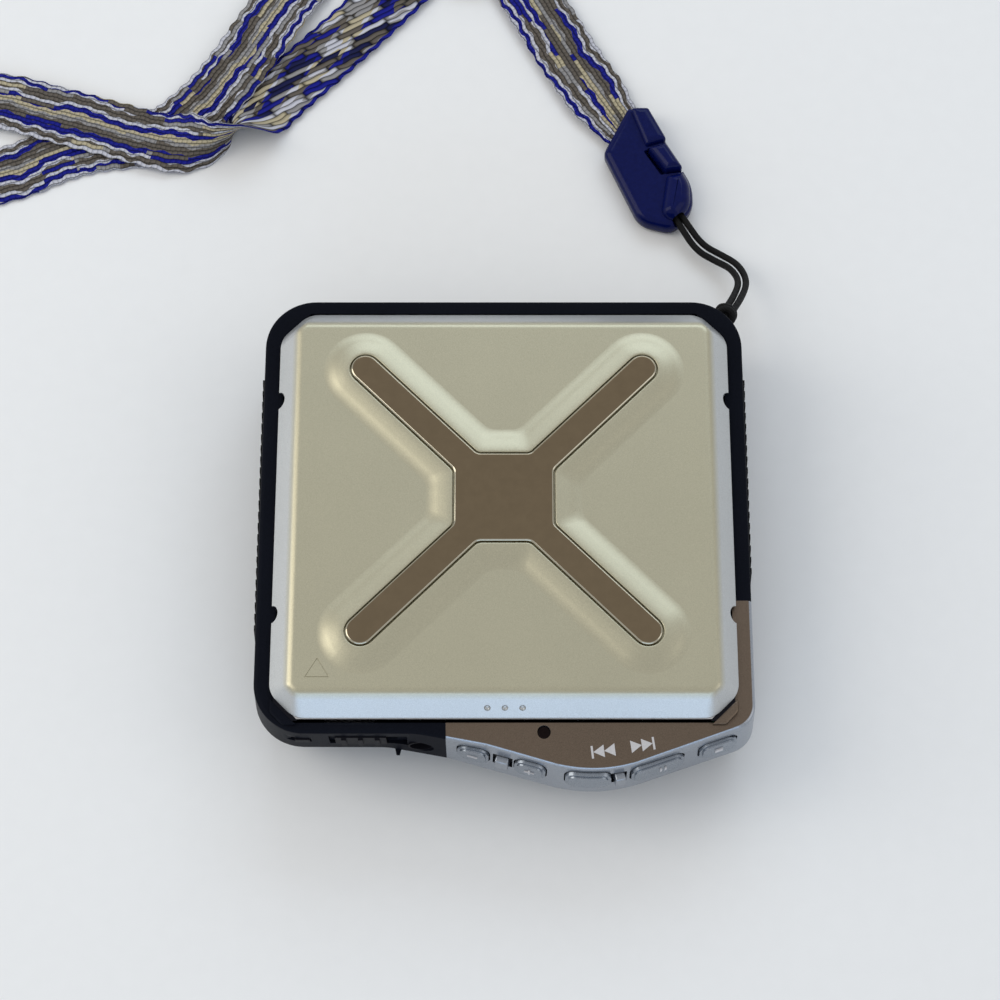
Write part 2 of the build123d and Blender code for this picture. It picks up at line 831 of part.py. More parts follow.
def feed_screw():
    """The screw that draws the sled along: a threaded bar on two journals."""
    x0 = window_x0 + 0.3
    x1 = plate_x0 - 0.3
    bar = rod_x(x0, x1, screw_y, screw_z, screw_r)
    pitch = 1.5
    groove = Rot(0, 90, 0) * (Cylinder(screw_r + 1, 0.5) - Cylinder(screw_r - 0.2, 0.6))
    count = int((x1 - x0 - 2) / pitch)
    for i in range(count):
        bar -= Pos(x0 + 1.2 + i * pitch, screw_y, screw_z) * groove
    return bar + rod_x(window_x0 - 1.3, gear_x + gear_t, screw_y, screw_z, 0.6)


def screw_gear():
    wheel = gear(screw_teeth, 0.62, gear_t)
    return Pos(gear_x, screw_y, screw_z) * Rot(0, 90, 0) * wheel


def motor_pinion():
    """Pinion and shaft of the sled motor, turned half a tooth so that it meshes."""
    wheel = Rot(0, 0, 180 / pinion_teeth) * gear(pinion_teeth, 0.41, gear_t)
    pinion = Pos(gear_x, motor_y, screw_z) * Rot(0, 90, 0) * wheel
    return pinion + rod_x(plate_x0 - 3, gear_x + gear_t, motor_y, screw_z, 0.42)


def sled_motor():
    can = rod_x(plate_x0 - motor_length, plate_x0 - 0.05, motor_y, screw_z, motor_r)
    flat = block(0, far, motor_y - 5, motor_y + 5, screw_z + motor_r - 0.6, far)
    can -= flat
    return can - rod_x(plate_x0 - 3.2, plate_x0 + 1, motor_y, screw_z, 0.48)


def key_parts():
    """Board strips behind the front, one per facet, and a switch behind each key."""
    strip_shell = upper_loft(wall + 2.3) - upper_loft(wall + 3.0)
    low = strip_shell & block(step_x + 3.5, nose_x - 6.3, -far, -30.5, parting_z + 0.3, 15.2)
    high = strip_shell & block(nose_x - 5.7, body_half - 3.2, -far, -30.5, parting_z + 0.3, 15.2)
    switch_shell = upper_loft(wall + flange_t + button_travel + 0.1) - upper_loft(wall + 2.3)
    switches = []
    for x, width in buttons.values():
        body = switch_shell & facet_prism(x, 3.0, parting_z + 0.6, 15.0, 0.4)
        switches += (body & block(-far, far, -far, -30.5, 0, far)).solids()
    return Compound([*low.solids(), *high.solids()]), Compound(switches)


# ---- lid ----

def cross_corners(grow):
    """Corners of the cross, moved out by grow: four round-ended arms between four flat waists."""
    half = arm_half + grow
    tip = arm_reach * math.sqrt(2) + half
    waist_top = waist_end + grow
    waist_right = waist_side + grow
    lean = half * math.sqrt(2)
    arm = (math.sqrt(0.5), math.sqrt(0.5))
    side = (-math.sqrt(0.5), math.sqrt(0.5))
    near = (tip * arm[0] - half * side[0], tip * arm[1] - half * side[1], half)
    beyond = (tip * arm[0] + half * side[0], tip * arm[1] + half * side[1], half)
    quarter = [
        (waist_right, waist_right - lean, waist_r),
        near,
        beyond,
        (waist_top - lean, waist_top, waist_r),
    ]
    corners = list(quarter)
    corners += [(-x, y, r) for x, y, r in reversed(quarter)]
    corners += [(-x, -y, r) for x, y, r in quarter]
    corners += [(x, -y, r) for x, y, r in reversed(quarter)]
    return [(x, y + cross_y, r) for x, y, r in corners]


def lid_cover():
    outer = ruled(lid_outline(0, lid_cut, 2.0), lid_z,
                  lid_outline(lid_bevel, lid_top_cut, 0.5), lid_top_z)
    share = (lid_rise - lid_skin) / lid_rise
    inner_top = lid_skin + lid_bevel * share
    inner = ruled(lid_outline(lid_skin, lid_cut, 1.6), lid_z,
                  lid_outline(inner_top, lid_cut + (lid_top_cut - lid_cut) * share, 0.4),
                  lid_top_z - lid_skin)
    plateau = ruled(cross_corners(plateau_foot), lid_top_z - 0.01,
                    cross_corners(plateau_edge), plateau_z)
    cover = outer + plateau - inner
    cover -= upright(cross_corners(0.06), lid_top_z - inlay_sink + plateau_h, far)
    for y in notch_y:
        notch = post(lid_half_w + 0.2, y, notch_r, lid_z - 1, lid_z + 2.2)
        cover -= notch + mirrored(notch)
    lean = math.degrees(math.atan2(lid_rise, lid_bevel))
    middle_y = lid_front_y + lid_bevel * 0.35
    middle_z = lid_z + lid_rise * 0.35
    for i in (-1, 0, 1):
        dimple = Rot(lean, 0, 0) * Cylinder(dimple_r, 0.5)
        cover -= Pos(i * dimple_pitch, middle_y, middle_z) * dimple
    return cover


def lid_inlay():
    low_z = lid_top_z - inlay_sink + plateau_h
    bar = upright(cross_corners(0), low_z, top_z - inlay_soft * 0.6)
    crown = ruled(cross_corners(0), top_z - inlay_soft * 0.6, cross_corners(-inlay_soft), top_z)
    return bar + crown


def lid_frame():
    """Moulded frame inside the lid, with the two arms that turn on the hinge pins."""
    edge = lid_outline(2.2, lid_cut - 1.2, 0.5)
    ring = upright(edge, lid_z, lid_z + 1.4)
    ring -= upright(rectangle(27.5, -24, 29, 6, 6, 2), lid_z - 1, far)
    ear_room = block(ear_x - 0.15, ear_x + ear_t + 2.3, hinge_y - 2.0, far, 0, far)
    ring -= ear_room + mirrored(ear_room)
    arm = rod_x(ear_x - hinge_gap - 1.4, ear_x - hinge_gap, hinge_y, hinge_z, hinge_eye_r)
    arm += block(
        ear_x - hinge_gap - 1.4, ear_x - hinge_gap, 35.0, hinge_y + 0.3, plate_z + 0.05, lid_z + 0.5
    )
    arm -= rod_x(0, 40, hinge_y, hinge_z, hinge_pin_r + run_clear)
    return ring + arm + mirrored(arm)


def disc_holder():
    """Bent sheet that takes the cartridge: top plate, two rails with lips, rear stops."""
    x = rail_out_x
    plate = upright(rectangle(x, bay_front_y + 0.4, 34.9, 1.6, 1.6, 0.3), plate_z, plate_top_z)
    plate -= upright(rectangle(20, -20, 22, 4, 4, 2), 0, far)
    rail = block(rail_in_x, x, -29.5, 33, lip_low_z, plate_top_z)
    rail += block(x - rail_lip, x, -29.5, 33, lip_low_z, lip_top_z)
    stop_y = cartridge_rear_y + 0.05
    stop = block(8, 20, 34.5, stop_y + sheet_t, plate_z, plate_top_z)
    stop += block(8, 20, stop_y, stop_y + sheet_t, cartridge_z + 0.6, plate_top_z)
    tab = block(-x, -x + sheet_t, -29.5, -25.0, slider_stem_z - 1.0, lip_low_z + 0.1)
    tab -= block(-far, 0, -28.7, -25.8, slider_stem_z - 0.2, slider_stem_z + 1.0)
    holder = plate + rail + mirrored(rail) + stop + mirrored(stop) + tab
    return holder


def lid_tabs():
    """Steel tabs that show in the lid's side notches."""
    tabs = []
    for y in notch_y:
        tab = block(lid_half_w - 1.9, lid_half_w - 1.55, y - 0.9, y + 0.9, plate_top_z, lid_z + 0.85)
        tabs += [*tab.solids(), *mirrored(tab).solids()]
    return Compound(tabs)


def hinge_pins():
    return both(rod_x(ear_x - hinge_gap - 1.5, ear_x + ear_t + 2.0, hinge_y, hinge_z, hinge_pin_r))


def hinge_springs():
    x0 = ear_x + ear_t + 0.1
    coil = rod_x(x0, x0 + 1.7, hinge_y, hinge_z, 1.0) - rod_x(x0 - 1, x0 + 3, hinge_y, hinge_z, 0.7)
    return both(coil)


# ---- slider, latch, hold ----

slider_stem_z = 13.9
latch_short = 0.9


def open_slider():
    """Thumb slider on the front wall: three ridges outside, a stem to the latch inside."""
    x0 = slider_x - slider_w / 2
    x1 = slider_x + slider_w / 2
    cap = wall_slab(-0.25) - wall_slab(slider_recess - 0.08)
    cap &= block(x0, x1, -far, 0, slider_low_z, slider_high_z)
    ridges = wall_slab(-0.6) - wall_slab(0)
    for i in (-1, 0, 1):
        x = slider_x + i * 2.7
        cap += ridges & block(x - 0.4, x + 0.4, -far, 0, slider_low_z + 0.4, slider_high_z - 0.4)
    stem = block(slider_x - 2.2, slider_x + 2.2, wall_front_y - 0.2, inside_y, slider_stem_z,
                 slider_stem_z + 0.8)
    return cap + stem


def latch_plate():
    """Steel strip behind the slider, with the nose that holds the disc holder's tab."""
    bar = block(slider_x - 6, slider_x + 2.2, inside_y, inside_y + 6, slider_stem_z,
                slider_stem_z + 0.8)
    nose_end = -(rail_out_x - sheet_t) + latch_short
    return bar + block(nose_end, slider_x - 5, -28.4, -26.2, slider_stem_z, slider_stem_z + 0.8)


def hold_switch():
    x0 = hold_x - hold_w / 2
    cap = wall_slab(-0.25) - wall_slab(slider_recess - 0.08)
    cap &= block(x0, x0 + hold_w, -far, 0, 14.2, 16.2)
    stem = block(hold_x - 0.4, hold_x + 0.4, wall_front_y - 0.2, inside_y + 0.5, 14.4, 15.0)
    return cap + stem


# ---- strap ----

cord_r = 0.6
cord_apart = 0.65
loop_route = [
    (31.0, 69.4, 2.8),
    (32.6, 66.6, 2.7),
    (35.3, 63.0, 2.0),
    (39.2, 60.3, 2.2),
    (42.3, 57.2, 3.8),
    (43.0, 52.4, 6.8),
    (41.8, 47.2, 10.9),
]
knot_at = (39.7, 42.3, 15.2)
post_turn_z = 15.3
knot_r = 2.15
knot_room_r = 1.55
knot_length = 2.4
clip_low_z = 0.0
clip_flat_z = 3.6
clip_high_z = 5.4
clip_corners = [
    (24.9, 64.6, 3.0), (30.6, 62.9, 2.5), (34.3, 68.3, 3.5), (34.2, 73.5, 3.0),
    (26.3, 88.9, 0.8), (22.2, 88.9, 1.0), (18.2, 80.2, 1.2),
]
clip_upper = [(25.5, 81.4, 0.4), (29.4, 82.3, 0.4), (26.2, 88.4, 0.6), (22.7, 88.4, 0.6)]
clip_latch = [(29.4, 76.5, 0.3), (32.8, 76.4, 0.3), (29.6, 81.8, 0.3), (26.2, 80.9, 0.3)]
clip_lower = [
    (28.4, 66.4, 0.8), (30.6, 63.7, 1.6), (33.8, 68.4, 3.0), (33.7, 73.2, 2.5),
    (32.5, 75.8, 0.3), (29.5, 75.9, 0.3),
]
latch_depth = 1.5
latch_travel = 0.5
band_w = 11.5
band_t = 0.9
band_end_w = 7.8
band_over = [
    (22.6, 85.4), (14.8, 101.4), (0.3, 125.3), (-12.6, 125.3), (-33.2, 99.7), (-46.3, 84.8),
    (-60.5, 85.2), (-80.0, 87.2), (-95.0, 93.5), (-107.0, 88.5),
]
band_under = [
    (-95.0, 93.5), (-108.0, 87.0), (-106.0, 74.5), (-91.0, 75.5), (-76.0, 85.6), (-62.6, 86.2),
    (-50.6, 101.4), (-34.5, 122.3), (-20.0, 126.6), (-3.5, 125.0),
]


def bend_radii(points):
    """A radius for each inner point, so that its arc fits between the middles of its runs."""
    radii = []
    for i in range(1, len(points) - 1):
        back = Vector(points[i - 1]) - Vector(points[i])
        on = Vector(points[i + 1]) - Vector(points[i])
        half_turn = math.radians(180 - back.get_angle(on)) / 2
        radii.append(0.45 * min(back.length, on.length) / math.tan(half_turn))
    return radii


def cord_path():
    """Out along one strand, round the post, and back along the other."""
    near = []
    away = []
    for i, (x, y, z) in enumerate([*loop_route, knot_at][:-1]):
        ahead = ([*loop_route, knot_at])[i + 1]
        length = math.hypot(ahead[0] - x, ahead[1] - y)
        nx = -(ahead[1] - y) / length * cord_apart
        ny = (ahead[0] - x) / length * cord_apart
        near.append((x - nx, y - ny, z))
        away.append((x + nx, y + ny, z))
    length = math.hypot(strap_post_x - knot_at[0], strap_post_y - knot_at[1])
    ux = (strap_post_x - knot_at[0]) / length
    uy = (strap_post_y - knot_at[1]) / length
    near.append((knot_at[0] + uy * cord_apart, knot_at[1] - ux * cord_apart, knot_at[2]))
    away.append((knot_at[0] - uy * cord_apart, knot_at[1] + ux * cord_apart, knot_at[2]))
    turn = strap_post_r + cord_r + 0.05
    behind_x = strap_post_x + ux * turn
    behind_y = strap_post_y + uy * turn
    side = turn + 0.2
    near.append((behind_x + uy * side, behind_y - ux * side, post_turn_z))
    away.append((behind_x - uy * side, behind_y + ux * side, post_turn_z))
    return near + away[::-1]


def loop_cord():
    points = cord_path()
    path = FilletPolyline(*points, radius=bend_radii(points))
    section = Plane(origin=path @ 0, z_dir=path % 0) * Circle(cord_r)
    return sweep(section, path)


def loop_knot():
    """The turn that holds both strands together, as a ring around them."""
    along = (Vector(*loop_route[-1]) - Vector(*knot_at)).normalized()
    ring = Cylinder(knot_r, knot_length) - Cylinder(knot_room_r, 2 * knot_length)
    rims = ring.edges().filter_by(GeomType.CIRCLE).sort_by(SortBy.RADIUS)[-2:]
    ring = fillet(rims, knot_length / 8)
    return Plane(origin=Vector(*knot_at) + along, z_dir=along) * ring


def ribbon(points, z0):
    path = FilletPolyline(*[(x, y, 0) for x, y in points], radius=bend_radii(points))
    edge = Plane(origin=path @ 0, z_dir=path % 0, x_dir=Vector(0, 0, 1).cross(path % 0))
    section = edge * Rectangle(band_w, band_t)
    return Pos(0, 0, z0 + band_t / 2) * sweep(section, path)


def band_taper():
    """What is cut off both edges of the band where it runs into the clip."""
    x, y = band_over[0]
    turn = math.degrees(math.atan2(band_over[1][1] - y, band_over[1][0] - x))
    length = 21.0
    cut = make_face(Polyline(
        (-3, band_end_w / 2), (1, band_end_w / 2), (length, band_w / 2 + 0.01),
        (length, band_w), (-3, band_w), close=True
    ))
    wedge = extrude(cut, 10, both=True)
    return Pos(x, y, 0) * Rot(0, 0, turn) * (wedge + mirror(wedge, Plane.XZ))


def strap_band():
    return ribbon(band_over, band_t) - band_taper() + ribbon(band_under, 0)


def strap_keeper():
    """Sleeve that gathers both ends of the band."""
    x0 = -9.5
    x1 = -2.5
    middle = band_over[2][1] - 0.1
    reach = band_w / 2 + 1.0
    sleeve = block(x0, x1, middle - reach - 1, middle + reach + 1, 0, 2 * band_t + 1.2)
    return sleeve - block(x0 - 1, x1 + 1, middle - reach, middle + reach, -1, 2 * band_t + 0.2)


def clip_socket():
    """Moulded clip: a flat body with a raised spine that is open over the latch."""
    inset = [0.7] * len(clip_corners)
    low = shifted(clip_corners, inset)
    body = ruled(low, clip_low_z, clip_corners, clip_low_z + 1.0)
    body += ruled(clip_corners, clip_low_z + 1.0, low, clip_flat_z)
    for outline, top in ((clip_upper, clip_high_z - 0.7), (clip_lower, clip_high_z)):
        narrow = shifted(outline, [0.35] * len(outline))
        body += upright(outline, clip_low_z + 1.2, top - 0.6)
        body += ruled(outline, top - 0.6, narrow, top)
    grow = [-0.3] * len(clip_latch)
    body -= upright(shifted(clip_latch, grow), clip_flat_z - latch_depth - 0.6, far)
    x, y = band_over[0]
    turn = math.degrees(math.atan2(band_over[1][1] - y, band_over[1][0] - x))
    slot = block(-0.1, far, -band_end_w / 2 - 0.1, band_end_w / 2 + 0.1, band_t - 0.02, 2 * band_t + 0.02)
    body -= Pos(x, y, 0) * Rot(0, 0, turn) * slot
    turn = math.degrees(math.atan2(loop_route[1][1] - loop_route[0][1],
                                   loop_route[1][0] - loop_route[0][0]))
    room = block(-0.3, far, -1.5, 1.5, -0.85, 0.85)
    return body - Pos(*loop_route[0]) * Rot(0, 0, turn) * room


def clip_release():
    top = clip_high_z - 0.1
    narrow = shifted(clip_latch, [0.3] * len(clip_latch))
    key = upright(clip_latch, clip_flat_z - latch_depth, top - 0.5)
    return key + ruled(clip_latch, top - 0.5, narrow, top)


def build():
    save(lower_case(), "lower_case")
    save(upper_frame(), "upper_frame")
    save(control_panel(), "control_panel")
    for name, span in grip_spans.items():
        save(side_grip(*span), name)
    for name, (x, width) in buttons.items():
        save(button(x, width), name)
    save(status_light(), "status_light")
    save(battery_door(), "battery_door")
    save(rod_x(-22.4, 22.4, door_axis_y, door_axis_z, door_pin_r), "door_pin")
    save(post(strap_post_x, strap_post_y, strap_post_r, parting_z + 0.2, strap_high_z + 0.7),
         "strap_post")
    save(main_board(), "main_board")
    save(board_chips(), "board_chips")
    save(jack_body(), "headphone_jack")
    save(battery_cell(), "battery_cell")
    save(battery_contacts(), "battery_contacts")
    save(battery_roof(), "battery_roof")
    save(chassis(), "chassis")
    save(guide_rods(), "guide_rods")
    save(dampers(), "rubber_dampers")
    save(screws(case_screw_xy, screw_head_t, boss_top_z - 0.7, 0.4, screw_head_t, screw_head_r),
         "case_screws")
    save(screws(damper_xy, chassis_z - 4, deck_z + 0.2, deck_z, 0.7, 1.7), "chassis_screws")
    save(spindle_motor(), "spindle_motor")
    save(turntable(), "turntable")
    save(pickup_sled(), "pickup_sled")
    save(pickup_lens(), "pickup_lens")
    save(feed_screw(), "feed_screw")
    save(screw_gear(), "screw_gear")
    save(motor_pinion(), "motor_pinion")
    save(sled_motor(), "sled_motor")
    strips, switches = key_parts()
    save(strips, "key_boards")
    save(switches, "key_switches")
    save(lid_cover(), "lid_cover")
    save(lid_inlay(), "lid_inlay")
    save(lid_frame(), "lid_frame")
    save(disc_holder(), "disc_holder")
    save(lid_tabs(), "lid_tabs")
    save(hinge_pins(), "hinge_pins")
    save(hinge_springs(), "hinge_springs")
    save(open_slider(), "open_slider")
    save(latch_plate(), "latch_plate")
    save(hold_switch(), "hold_switch")
    save(loop_cord(), "loop_cord")
    save(loop_knot(), "loop_knot")
    save(strap_band(), "strap_band")
    save(strap_keeper(), "strap_keeper")
    save(clip_socket(), "clip_socket")
    save(clip_release(), "clip_release")


build()
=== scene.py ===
import json
import math

import bmesh
import bpy
from mathutils import Matrix, Vector


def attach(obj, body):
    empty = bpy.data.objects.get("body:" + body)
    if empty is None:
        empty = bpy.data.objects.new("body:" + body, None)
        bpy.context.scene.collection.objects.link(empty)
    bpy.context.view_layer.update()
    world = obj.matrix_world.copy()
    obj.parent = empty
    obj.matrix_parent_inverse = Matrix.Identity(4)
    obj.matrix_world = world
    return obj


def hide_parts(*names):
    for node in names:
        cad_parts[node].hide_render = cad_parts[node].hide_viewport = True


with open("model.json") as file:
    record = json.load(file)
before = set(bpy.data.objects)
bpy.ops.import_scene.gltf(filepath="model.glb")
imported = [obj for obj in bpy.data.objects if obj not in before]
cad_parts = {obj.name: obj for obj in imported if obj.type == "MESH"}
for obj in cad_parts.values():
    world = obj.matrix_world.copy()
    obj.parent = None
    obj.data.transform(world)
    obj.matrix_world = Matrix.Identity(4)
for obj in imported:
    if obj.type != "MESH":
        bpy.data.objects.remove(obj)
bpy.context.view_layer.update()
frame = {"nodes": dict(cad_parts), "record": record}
nodes = frame["nodes"]
mm = 0.001
scene = bpy.context.scene
scene.view_settings.view_transform = "Standard"


# camera, floor and light

shot = {
    "place": (-0.64 * mm, -156.87 * mm, 423.53 * mm),
    "tilt": 21.9,
    "lens": 94.32,
}
studio = {
    "floorSize": 3.0,
    "floorColour": (0.80, 0.81, 0.82),
    "worldLevel": 0.62,
    "backdrop": (0.93, 0.94, 0.95),
    "lamps": [
        # place, aims at, width, depth, watts, colour
        ((-0.75, 0.10, 0.55), (0, 0, 0), 0.5, 0.9, 3.2, (1.0, 0.95, 0.86)),
        ((0.0, -0.90, 0.34), (0, -0.03, 0.01), 1.1, 0.34, 1.8, (0.46, 0.70, 1.0)),
        ((0.15, 0.80, 0.66), (0, 0, 0), 0.9, 0.45, 2.4, (0.72, 0.86, 1.0)),
        ((0.70, -0.10, 0.50), (0, 0, 0), 0.4, 0.6, 0.55, (1.0, 0.97, 0.93)),
    ],
}


def addCamera():
    camera = bpy.data.objects.new("viewCamera", bpy.data.cameras.new("viewCamera"))
    scene.collection.objects.link(camera)
    camera.location = shot["place"]
    camera.rotation_euler = (math.radians(shot["tilt"]), 0, 0)
    camera.data.lens = shot["lens"]
    camera.data.sensor_width = 36
    camera.data.clip_start = 0.01
    scene.camera = camera


def addLamps():
    for i, (place, aim, width, depth, watts, colour) in enumerate(studio["lamps"]):
        lamp = bpy.data.objects.new(f"softbox{i}", bpy.data.lights.new(f"softbox{i}", "AREA"))
        scene.collection.objects.link(lamp)
        lamp.data.shape = "RECTANGLE"
        lamp.data.size = width
        lamp.data.size_y = depth
        lamp.data.energy = watts
        lamp.data.color = colour
        lamp.location = place
        lamp.rotation_euler = (Vector(aim) - Vector(place)).to_track_quat("-Z", "Y").to_euler()


def addWorld():
    world = bpy.data.worlds.new("studioWorld")
    scene.world = world
    world.use_nodes = True
    tree = world.node_tree
    tree.nodes.clear()
    out = tree.nodes.new("ShaderNodeOutputWorld")
    room = tree.nodes.new("ShaderNodeBackground")
    shown = tree.nodes.new("ShaderNodeBackground")
    mix = tree.nodes.new("ShaderNodeMixShader")
    path = tree.nodes.new("ShaderNodeLightPath")
    either = tree.nodes.new("ShaderNodeMath")
    either.operation = "MAXIMUM"
    room.inputs["Color"].default_value = (1, 1, 1, 1)
    room.inputs["Strength"].default_value = studio["worldLevel"]
    shown.inputs["Color"].default_value = (*studio["backdrop"], 1)
    shown.inputs["Strength"].default_value = 1
    tree.links.new(path.outputs["Is Camera Ray"], either.inputs[0])
    tree.links.new(path.outputs["Is Transmission Ray"], either.inputs[1])
    tree.links.new(either.outputs[0], mix.inputs[0])
    tree.links.new(room.outputs[0], mix.inputs[1])
    tree.links.new(shown.outputs[0], mix.inputs[2])
    tree.links.new(mix.outputs[0], out.inputs[0])


# modelling tools

def deselectAll():
    if bpy.context.object and bpy.context.object.mode != "OBJECT":
        bpy.ops.object.mode_set(mode="OBJECT")
    bpy.ops.object.select_all(action="DESELECT")


def pick(piece):
    deselectAll()
    piece.select_set(True)
    bpy.context.view_layer.objects.active = piece


def modify(piece, kind, **settings):
    pick(piece)
    modifier = piece.modifiers.new(kind.title(), kind)
    for name, value in settings.items():
        setattr(modifier, name, value)
    bpy.ops.object.modifier_apply(modifier=modifier.name)


def smooth(piece, angle=35, wideFace=6.0, crease=3.0):
    # creases between two wide faces stay crisp, and small edge faces turn with the wide ones
    shape = bmesh.new()
    shape.from_mesh(piece.data)
    wide = wideFace * mm * mm
    for face in shape.faces:
        face.smooth = True
    for edge in shape.edges:
        if len(edge.link_faces) != 2:
            continue
        turn = math.degrees(edge.calc_face_angle(0))
        bothWide = min(face.calc_area() for face in edge.link_faces) > wide
        edge.smooth = not (turn > angle or (turn > crease and bothWide))
    shape.to_mesh(piece.data)
    shape.free()
    modify(piece, "WEIGHTED_NORMAL", keep_sharp=True, weight=100, thresh=0.001)


def paint(piece, finish):
    piece.data.materials.clear()
    piece.data.materials.append(finish.material)


def meshPiece(name, points, faces):
    mesh = bpy.data.meshes.new(name)
    mesh.from_pydata([Vector(p) for p in points], [], faces)
    mesh.update()
    piece = bpy.data.objects.new(name, mesh)
    scene.collection.objects.link(piece)
    return piece


def outward(piece):
    pick(piece)
    bpy.ops.object.mode_set(mode="EDIT")
    bpy.ops.mesh.select_all(action="SELECT")
    bpy.ops.mesh.remove_doubles(threshold=0.000002)
    bpy.ops.mesh.normals_make_consistent(inside=False)
    bpy.ops.object.mode_set(mode="OBJECT")


def settle(piece, body, finish):
    paint(piece, finish)
    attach(piece, body)


def softCopy(name, node, edge, segments=2, limit=30):
    # the CAD shape with its edges rounded off, so that they catch the light
    piece = bpy.data.objects.new(name, nodes[node].data.copy())
    scene.collection.objects.link(piece)
    pick(piece)
    bpy.ops.object.mode_set(mode="EDIT")
    bpy.ops.mesh.select_all(action="SELECT")
    bpy.ops.mesh.remove_doubles(threshold=0.000002)
    bpy.ops.mesh.dissolve_limited(angle_limit=math.radians(0.4))
    bpy.ops.object.mode_set(mode="OBJECT")
    modify(
        piece, "BEVEL", width=edge, segments=segments, limit_method="ANGLE",
        angle_limit=math.radians(limit), use_clamp_overlap=True, loop_slide=False,
    )
    smooth(piece, 40)
    return piece


def outline(corners, z, steps=6):
    # points round an outline of corners (x, y, radius), the same number for each corner
    points = []
    count = len(corners)
    for i in range(count):
        here = Vector(corners[i][:2])
        back = (Vector(corners[i - 1][:2]) - here).normalized()
        on = (Vector(corners[(i + 1) % count][:2]) - here).normalized()
        half = back.angle(on) / 2
        radius = corners[i][2]
        middle = here + (back + on).normalized() * (radius / math.sin(half))
        start = here + back * (radius / math.tan(half)) - middle
        end = here + on * (radius / math.tan(half)) - middle
        sweep = start.angle_signed(end)
        for j in range(steps + 1):
            turn = -sweep * j / steps
            spot = Vector((start.x * math.cos(turn) - start.y * math.sin(turn),
                           start.x * math.sin(turn) + start.y * math.cos(turn)))
            points.append(((middle.x + spot.x) * mm, (middle.y + spot.y) * mm, z * mm))
    return points


def skinned(name, rings, capTop=True, capLow=False):
    # a surface through rings of equally many points, from the lowest outwards
    count = len(rings[0])
    points = [p for ring in rings for p in ring]
    faces = []
    for i in range(len(rings) - 1):
        for j in range(count):
            k = (j + 1) % count
            faces.append((i * count + j, i * count + k, (i + 1) * count + k, (i + 1) * count + j))
    if capTop:
        faces.append(tuple((len(rings) - 1) * count + j for j in range(count)))
    if capLow:
        faces.append(tuple(range(count - 1, -1, -1)))
    return meshPiece(name, points, faces)


def grown(corners, by):
    # corners of the outline moved outwards, with their radii changed to match
    moved = []
    count = len(corners)
    for i in range(count):
        here = Vector(corners[i][:2])
        back = (here - Vector(corners[i - 1][:2])).normalized()
        on = (Vector(corners[(i + 1) % count][:2]) - here).normalized()
        first = Vector((back.y, -back.x))
        second = Vector((on.y, -on.x))
        shift = (first + second) / (1 + first.dot(second)) * by
        convex = back.x * on.y - back.y * on.x > 0
        radius = corners[i][2] + (by if convex else -by)
        moved.append((here.x + shift.x, here.y + shift.y, max(radius, 0.08)))
    return moved


def moulded(name, corners, profile, steps=6):
    # a solid over an outline, from rings of (how far in, height)
    rings = [outline(grown(corners, -inset), z, steps) for inset, z in profile]
    piece = skinned(name, rings, capLow=True)
    outward(piece)
    return piece


def cutWith(piece, cutter):
    modify(piece, "BOOLEAN", operation="DIFFERENCE", solver="EXACT", object=cutter)
    bpy.data.objects.remove(cutter)


# shader tools

class Link:  # a node's output, so that shader maths reads as sums
    def __init__(self, finish, socket):
        self.finish = finish
        self.socket = socket

    def maths(self, operation, first, second=0.0):
        return self.finish.node("ShaderNodeMath", {"operation": operation}, {0: first, 1: second})

    def __add__(self, other):
        return self.maths("ADD", self, other)

    def __sub__(self, other):
        return self.maths("SUBTRACT", self, other)

    def __rsub__(self, other):
        return self.maths("SUBTRACT", other, self)

    def __mul__(self, other):
        return self.maths("MULTIPLY", self, other)

    def __truediv__(self, other):
        return self.maths("DIVIDE", self, other)

    def __mod__(self, other):
        return self.maths("FLOORED_MODULO", self, other)

    def __gt__(self, other):
        return self.maths("GREATER_THAN", self, other)

    def __lt__(self, other):
        return self.maths("LESS_THAN", self, other)

    __radd__ = __add__
    __rmul__ = __mul__

    def floor(self):
        return self.maths("FLOOR", self)

    def size(self):
        return self.maths("ABSOLUTE", self)

    def sine(self):
        return self.maths("SINE", self)


